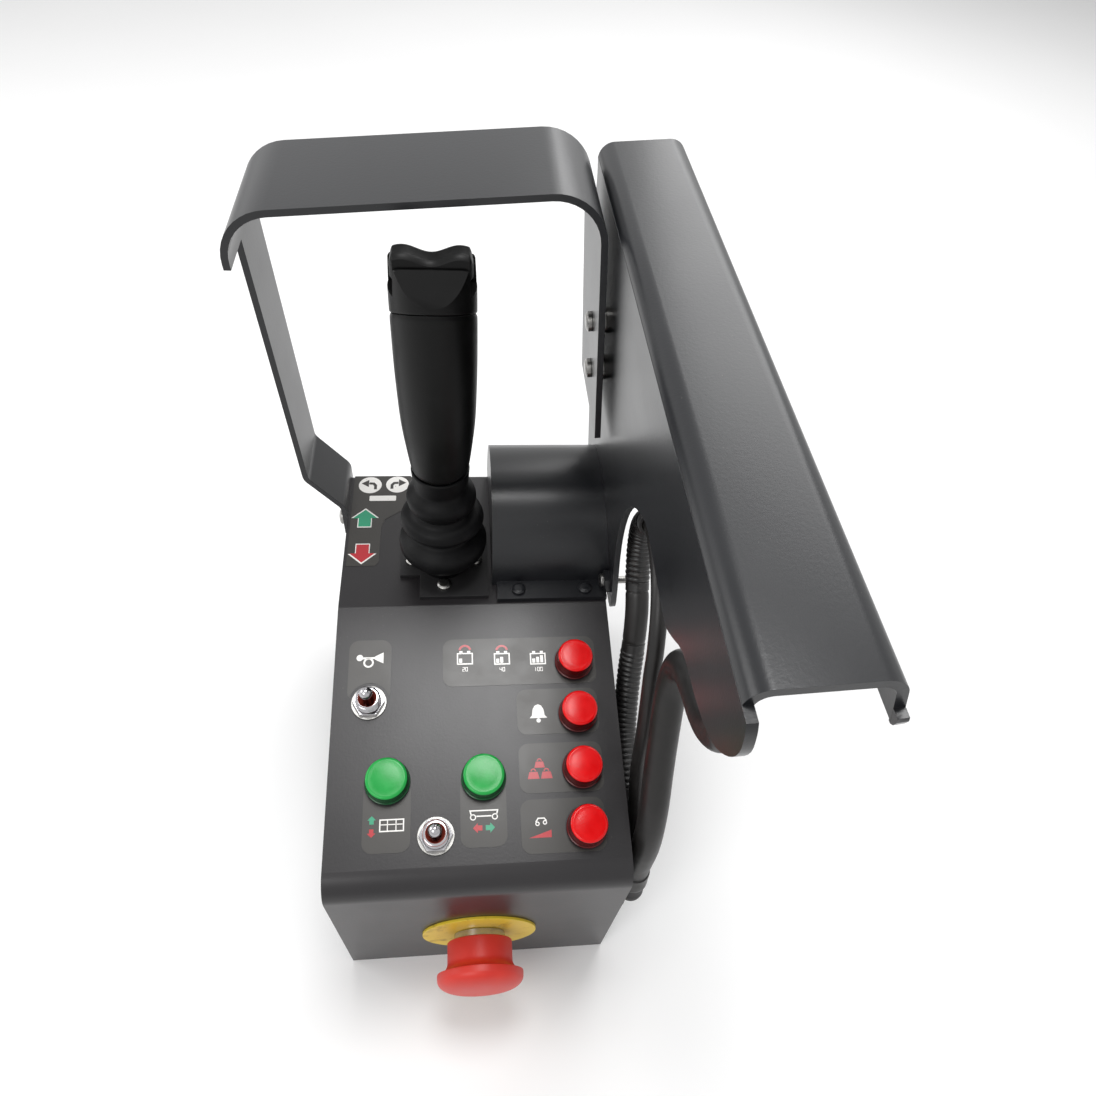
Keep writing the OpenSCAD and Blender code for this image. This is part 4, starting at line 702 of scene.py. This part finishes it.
def carved(piece, cutters):
    """The piece with these boxes cut out of it. Each box is (low corner, high corner, lean, pivot)."""
    for low, high, lean, pivot in cutters:
        low, high, pivot = (np.asarray(v, float) for v in (low, high, pivot))
        corner = np.array([[x, y, z] for x in (0, 1) for y in (0, 1) for z in (0, 1)]) * (high - low) + low
        c, s = math.cos(lean), math.sin(lean)
        spin = np.array([[1, 0, 0], [0, c, -s], [0, s, c]])
        corner = (corner - pivot) @ spin.T + pivot + STICK
        mesh = bpy.data.meshes.new("cutter")
        sides = [(0, 1, 3, 2), (4, 6, 7, 5), (0, 4, 5, 1), (2, 3, 7, 6), (0, 2, 6, 4), (1, 5, 7, 3)]
        mesh.from_pydata((corner / 1000).tolist(), [], sides)
        cutter = bpy.data.objects.new("cutter", mesh)
        bpy.context.scene.collection.objects.link(cutter)
        cut = piece.modifiers.new("cut", "BOOLEAN")
        cut.object, cut.operation, cut.solver = cutter, "DIFFERENCE", "EXACT"
        bpy.context.view_layer.update()
        ready = bpy.data.meshes.new_from_object(piece.evaluated_get(bpy.context.evaluated_depsgraph_get()))
        piece.modifiers.clear()
        piece.data = ready
        bpy.data.objects.remove(cutter)
    piece.data.shade_smooth()
    piece.data.set_sharp_from_angle(angle=math.radians(35))
    return piece


SEAM_GAP, SHAFT_HALF, SHAFT_TOP, SHAFT_OVER = 0.25, 5.05, 312.3, 5
grip = grip_shell("grip_handle", lambda s: GRIP_LOW + 0 * s,
                  lambda s: SEAM_Z - SEAM_GAP - GRIP_R * s * seam_slope, lambda y: GRIP_LOW + 0 * y,
                  lambda y: SEAM_Z - SEAM_GAP - y * seam_slope, 90, "grip_body")
TRIGGER_W, TRIGGER_LOW, TRIGGER_HIGH, TRIGGER_FLOOR, TRIGGER_GAP = 12, 247, 304, 6.3, 1
CUT, CUT_TOP, NO_LEAN = 40, 400, (0, (0, 0, 0))
trigger_slot = ((-TRIGGER_W / 2, TRIGGER_FLOOR, TRIGGER_LOW - TRIGGER_GAP),
                (TRIGGER_W / 2, CUT, TRIGGER_HIGH + TRIGGER_GAP), *NO_LEAN)
shaft_hole = ((-SHAFT_HALF, -SHAFT_HALF, GRIP_LOW - SHAFT_OVER),
              (SHAFT_HALF, SHAFT_HALF, SHAFT_TOP), *NO_LEAN)
carved(grip, [trigger_slot, shaft_hole])
ROCKER_Y, ROCKER_T, POCKET_Z = -3.2, 11.0, 338.0
head_piece = grip_shell("grip_cap", lambda s: SEAM_Z + SEAM_GAP - GRIP_R * s * seam_slope,
                        lambda s: GRIP_TOP - 0.4 + 0 * s, lambda y: SEAM_Z + SEAM_GAP - y * seam_slope,
                        lambda y: GRIP_TOP + 0 * y, 46, "grip_head")
EDGE, FACE_LEAN_DEG, NAPE_LEAN_DEG, LEAN_TOP, POCKET_GAP = 0.6, 56, -50, 380, 0.3
front, back = ROCKER_Y - ROCKER_T / 2 - POCKET_GAP, ROCKER_Y + ROCKER_T / 2 + POCKET_GAP
face_foot, nape_foot = front - EDGE, back + EDGE
rocker_pocket = ((-CUT, front, POCKET_Z), (CUT, back, CUT_TOP), *NO_LEAN)
face_cut = ((-CUT, face_foot - CUT, GRIP_TOP), (CUT, face_foot, LEAN_TOP), math.radians(FACE_LEAN_DEG),
            (0, face_foot, GRIP_TOP))
nape_cut = ((-CUT, nape_foot, GRIP_TOP), (CUT, nape_foot + CUT, LEAN_TOP), math.radians(NAPE_LEAN_DEG),
            (0, nape_foot, GRIP_TOP))
carved(head_piece, [rocker_pocket, face_cut, nape_cut])

# The steering rocker: a nylon cap moulded with a hump for each thumb stroke, its front and back edges rounded
# off. It tilts on a pin through the grip's head, and the trigger hangs on a pin of its own.
HALF, PIN_Z, VALLEY, HUMP, CAP_R, CHEEK_H = 16.2, 345.0, 7.2, 10.2, 17.1, 3
HUMP_SWEEP_DEG, END_SHARE, END_DROP, CHEEK_SHARE = 260, 0.9, 420, 0.78
EDGE_SHARE, EDGE_DROP = 0.45, 1.4
across = np.linspace(-1, 1, 81)
crown = VALLEY + (HUMP - VALLEY) * (1 - np.cos(np.radians(HUMP_SWEEP_DEG * across))) / 2
past_end = np.maximum(np.abs(across) - END_SHARE, 0)
crown = crown - past_end**2 * END_DROP
deep = np.linspace(-1, 1, 25)
fall = EDGE_DROP * (np.maximum(np.abs(deep) - EDGE_SHARE, 0) / (1 - EDGE_SHARE)) ** 2
xg, yg = np.meshgrid(across * HALF, deep * (ROCKER_T / 2 - 0.05), indexing="ij")
limit = np.sqrt(np.maximum(CAP_R**2 - (yg + ROCKER_Y) ** 2, 1))
xg = np.clip(xg, -limit, limit)
top = np.stack([xg, yg + ROCKER_Y, PIN_Z + crown[:, None] - fall[None, :]], axis=-1)
bottom = top.copy()
bottom[..., 2] = PIN_Z - CHEEK_H * (np.abs(across) < CHEEK_SHARE)[:, None]
cols = len(deep)
faces = skin(len(across), cols, False).tolist()
faces += (skin(len(across), cols, False)[:, ::-1] + top.shape[0] * cols).tolist()
count = top.shape[0] * cols
rows = len(across)
rim = np.concatenate([np.arange(cols), np.arange(1, rows) * cols + cols - 1,
                      (rows - 1) * cols + np.arange(cols - 2, -1, -1), np.arange(rows - 2, 0, -1) * cols])
after = np.roll(rim, -1)
faces += np.stack([rim, after, after + count, rim + count], axis=1).tolist()
piece_of("thumb_rocker", np.vstack([top.reshape(-1, 3), bottom.reshape(-1, 3)]) + STICK, faces, grip_plastic,
         "grip_plastic", body="rocker", replaces=["steering_rocker"], crease=45)
dressed("enable_trigger", grip_plastic, "trigger", edge=1.0, segments=3)

# The brackets: a half drum screwed to the top, a folded hook for the rail, and the flat bar that guards the
# grip. All have the same satin coat, a little bluer and smoother than the case.
bracket_paint = powder_coat("bracket_powder_coat", shade(16, 17, 20), shade(31, 32, 35), 0.22)
dressed("drum", bracket_paint, edge=0.5, crease=30)
drum_screws = dressed("drum_screws", zinc, edge=0.25, crease=30)
drum_screws.data.materials.append(bracket_paint.material)
painted_over = np.array([p.center.x for p in drum_screws.data.polygons]) < 0.066
drum_screws.data.polygons.foreach_set("material_index", painted_over.astype(np.int32))
dressed("rail_hook", bracket_paint, edge=0.6, crease=30)
dressed("guard_bar", bracket_paint, edge=0.6, crease=30)


# The leads on the right wall: a looped rubber lead that leaves one elbow gland and goes back into another,
# with ribbed nylon conduit and a smooth sleeve pushed over its rear branch, and a thick feed hose up to the
# hook.
def along(path, stations):
    """The points of the path at these distances from its start."""
    gone = np.concatenate([[0], np.cumsum(np.linalg.norm(np.diff(path, axis=0), axis=1))])
    return np.stack([np.interp(stations, gone, path[:, k]) for k in range(3)], axis=1), gone[-1]


def hose_mesh(path, stations, radii, sides=32, bore=0.0, probe=0.8):
    """A tube along the path: at each station a ring of its own radius stands square to the path, whose way is
    taken from the points one probe before and after. With a bore the rings are repeated inwards, and the two
    walls are joined at the ends."""
    centre, length = along(path, stations)
    before, _ = along(path, np.clip(stations - probe, 0, length))
    after, _ = along(path, np.clip(stations + probe, 0, length))
    ahead_of = after - before
    ahead_of /= np.linalg.norm(ahead_of, axis=1)[:, None]
    side = np.cross(ahead_of, [1.0, 0, 0])
    side /= np.linalg.norm(side, axis=1)[:, None]
    up = np.cross(side, ahead_of)
    turn = np.linspace(0, 2 * np.pi, sides, endpoint=False)
    ring = np.cos(turn)[None, :, None] * side[:, None] + np.sin(turn)[None, :, None] * up[:, None]
    rows = len(stations)
    reach = np.broadcast_to(np.asarray(radii, float), rows)[:, None, None]
    outer = (centre[:, None] + reach * ring).reshape(-1, 3)
    faces = skin(rows, sides).tolist()
    if not bore:
        return outer, faces + [list(range(sides)), list(range((rows - 1) * sides, rows * sides))]
    inner = (centre[:, None] + bore * ring).reshape(-1, 3)
    base = rows * sides
    faces += (skin(rows, sides)[:, ::-1] + base).tolist()
    j = np.arange(sides)
    k = (j + 1) % sides
    for row in (0, (rows - 1) * sides):
        faces += np.stack([row + j, row + k, base + row + k, base + row + j], axis=1).tolist()
    return np.vstack([outer, inner]), faces


rubber = Finish("hose_rubber", Specular_IOR_Level=0.35)
dust = rubber.noise(9, 5, 0.6)
rubber.set(Base_Color=rubber.blend(dust, shade(19, 18, 18), shade(38, 36, 35)),
           Roughness=0.30 + 0.22 * rubber.noise(4, 4))
rubber.bumps(rubber.noise(1.1, 2), 0.05, 0.5)

nylon = Finish("conduit_nylon", Specular_IOR_Level=0.45)
scuffs = nylon.stepped(nylon.noise(3.5, 6, 0.7), 0.52, 0.72)
nylon.set(Base_Color=nylon.blend(scuffs, shade(24, 23, 23), shade(58, 55, 53)), Roughness=0.34 + 0.2 * scuffs)
nylon.bumps(nylon.noise(0.7, 2), 0.03, 0.5)

LEAD_X, SOCKET_L = 80, 9
GLANDS = [(44, 101, 30), (36, 82, 105), (15, 77, 84)]


def gland_mouth(gland, past=0.0):
    """The middle of a gland's mouth, or a point that far beyond it along the way the lead leaves."""
    y, z, angle = gland
    reach = SOCKET_L + past
    return (LEAD_X, y + reach * math.cos(math.radians(angle)), z + reach * math.sin(math.radians(angle)))


lead_route = [gland_mouth(GLANDS[0]), gland_mouth(GLANDS[0], 12), (80, 82, 122), (81, 94, 133),
              (82.5, 105, 146), (84, 114, 160), (85, 124, 175), (85, 135, 188), (85, 144, 203),
              (85, 146, 218), (85, 138, 230), (84, 120, 236), (83, 102, 234), (82, 88, 226), (81, 77, 213),
              (80, 69, 198), (80, 63, 181), (80, 57, 162), (80, 52, 142), (80, 44, 127), (80, 35, 114),
              gland_mouth(GLANDS[1], 12), gland_mouth(GLANDS[1])]
feed_route = [gland_mouth(GLANDS[2]), gland_mouth(GLANDS[2], 16), (81, 19, 128), (82, 26, 150), (83, 38, 172),
              (84, 49, 194), (85, 57, 212), (86, 58, 226), (86, 50, 236), (86, 37, 242), (85, 24, 248),
              (84, 13, 256), (83, 5, 267), (81, 4, 280), (79, 11, 292), (77.5, 24, 300), (76.5, 42, 303.5),
              (76, 62, 304)]
to_base = np.array([0, BASE_Y, 0])
lead_path = smooth_run(lead_route, 12) - to_base
feed_path = smooth_run(feed_route, 12) - to_base

LEAD_R, BORE_GAP, RIB_R, RIB_DEEP, RIB_PITCH = 4.0, 0.5, 6.5, 0.75, 2.9
CUFF_L, CUFF_STEP, EDGE_STEP, SLEEVE_STEP, SLEEVE_ROUND = 5, 0.3, 0.5, 0.35, 0.8
LOWER_L, SLEEVE_L, UPPER_L = 86, 28, 58
_, lead_length = along(lead_path, np.zeros(1))
lead_points = hose_mesh(lead_path, np.linspace(0, lead_length, 260), LEAD_R, 28)
piece_of("looped_lead", *lead_points, rubber, "hose_rubber", replaces=["lead_cable"])


def ribbed(start, length):
    """Conduit ribs: the radius is a rounded wave along the conduit, and plain cuffs close both its ends."""
    at = np.linspace(start, start + length, int(length / RIB_PITCH * 10))
    wave = np.abs(np.sin(np.pi * (at - start) / RIB_PITCH)) ** 0.6
    cuff = np.minimum(at - start, start + length - at)
    radius = RIB_R - RIB_DEEP * (1 - wave)
    return at, np.where(cuff < CUFF_L, RIB_R - CUFF_STEP - EDGE_STEP * (cuff < EDGE_STEP), radius)


for name, node, start, length in (("conduit_at_gland", "conduit_lower", 0, LOWER_L),
                                  ("conduit_at_loop", "conduit_upper", LOWER_L + SLEEVE_L, UPPER_L)):
    at, radius = ribbed(start, length)
    piece_of(name, *hose_mesh(lead_path, at, radius, 32, LEAD_R + BORE_GAP), nylon, "conduit_plastic",
             replaces=[node])
at = np.linspace(LOWER_L, LOWER_L + SLEEVE_L, 40)
from_end = np.minimum(at - LOWER_L, LOWER_L + SLEEVE_L - at)
sleeve_radius = RIB_R - SLEEVE_STEP - EDGE_STEP * np.exp(-from_end / SLEEVE_ROUND)
piece_of("conduit_joining_sleeve", *hose_mesh(lead_path, at, sleeve_radius, 32, LEAD_R + BORE_GAP), rubber,
         "conduit_plastic", replaces=["conduit_sleeve"])

_, feed_length = along(feed_path, np.zeros(1))
FEED_R, FEED_CUFF_L, FEED_CUFF_H, FEED_EDGE, FINE_L = 7.0, 12, 0.6, 0.7, 15
at = np.concatenate([np.linspace(0, FINE_L, 30), np.linspace(FINE_L + 0.4, feed_length, 240)])
cuff = (at < FEED_CUFF_L) * (1.0 - FEED_EDGE * np.exp(-at / FEED_CUFF_H))
piece_of("feed_hose_skin", *hose_mesh(feed_path, at, FEED_R + cuff * FEED_CUFF_H, 40), rubber, "hose_rubber",
         replaces=["feed_hose"])

# A plain pale table and a soft white room: one light overhead, a large one over the operator's shoulder, one
# behind and one to the left, with the white of the room seen in the camera and in the gloss.
room = bpy.data.worlds.new("room")
room.use_nodes = True
bpy.context.scene.world = room
tree = room.node_tree
sky = tree.nodes["Background"]
rays = tree.nodes.new("ShaderNodeLightPath")
shown = tree.nodes.new("ShaderNodeMath")
shown.operation = "MAXIMUM"
tree.links.new(rays.outputs["Is Camera Ray"], shown.inputs[0])
seen = tree.nodes.new("ShaderNodeMath")
seen.operation = "MAXIMUM"
tree.links.new(rays.outputs["Is Glossy Ray"], seen.inputs[0])
tree.links.new(rays.outputs["Is Transmission Ray"], seen.inputs[1])
tree.links.new(seen.outputs[0], shown.inputs[1])
level = tree.nodes.new("ShaderNodeMapRange")
level.inputs["To Min"].default_value = 0.5
level.inputs["To Max"].default_value = 1.0
tree.links.new(shown.outputs[0], level.inputs["Value"])
tree.links.new(level.outputs[0], sky.inputs["Strength"])
sky.inputs["Color"].default_value = (1, 1, 1, 1)


def soft_light(name, place, aim, size, power):
    """A square of soft light at a place, turned to face its aim."""
    lamp = bpy.data.lights.new(name, "AREA")
    lamp.size, lamp.energy = size, power
    holder = bpy.data.objects.new(name, lamp)
    facing = (Vector(place) - Vector(aim)).to_track_quat("Z", "Y").to_matrix().to_4x4()
    holder.matrix_world = Matrix.Translation(place) @ facing
    bpy.context.scene.collection.objects.link(holder)


soft_light("overhead", (0.05, 0.15, 1.5), (0, 0.03, 0.15), 0.45, 9)
soft_light("over_shoulder", (-0.9, -1.1, 1.5), (0, 0, 0.15), 0.9, 12)
soft_light("behind", (0.7, 1.3, 1.3), (0, 0, 0.15), 1.0, 11)
soft_light("left_side", (-1.5, 0.4, 0.8), (0, 0, 0.2), 0.8, 7)

table_top = bpy.data.meshes.new("table_top")
half = 6.0
corners = [(-half, -half, 0), (half, -half, 0), (half, half, 0), (-half, half, 0)]
table_top.from_pydata(corners, [], [(0, 1, 2, 3)])
floor = bpy.data.objects.new("table_top", table_top)
floor_paint = Finish("pale_table", Roughness=0.9, Specular_IOR_Level=0.1)
floor_cloud = floor_paint.noise(400, 2)
floor_paint.set(Base_Color=floor_paint.blend(floor_cloud, shade(244, 244, 244), shade(250, 250, 250)))
table_top.materials.append(floor_paint.material)
bpy.context.scene.collection.objects.link(floor)
bpy.context.scene.view_settings.view_transform = "Standard"
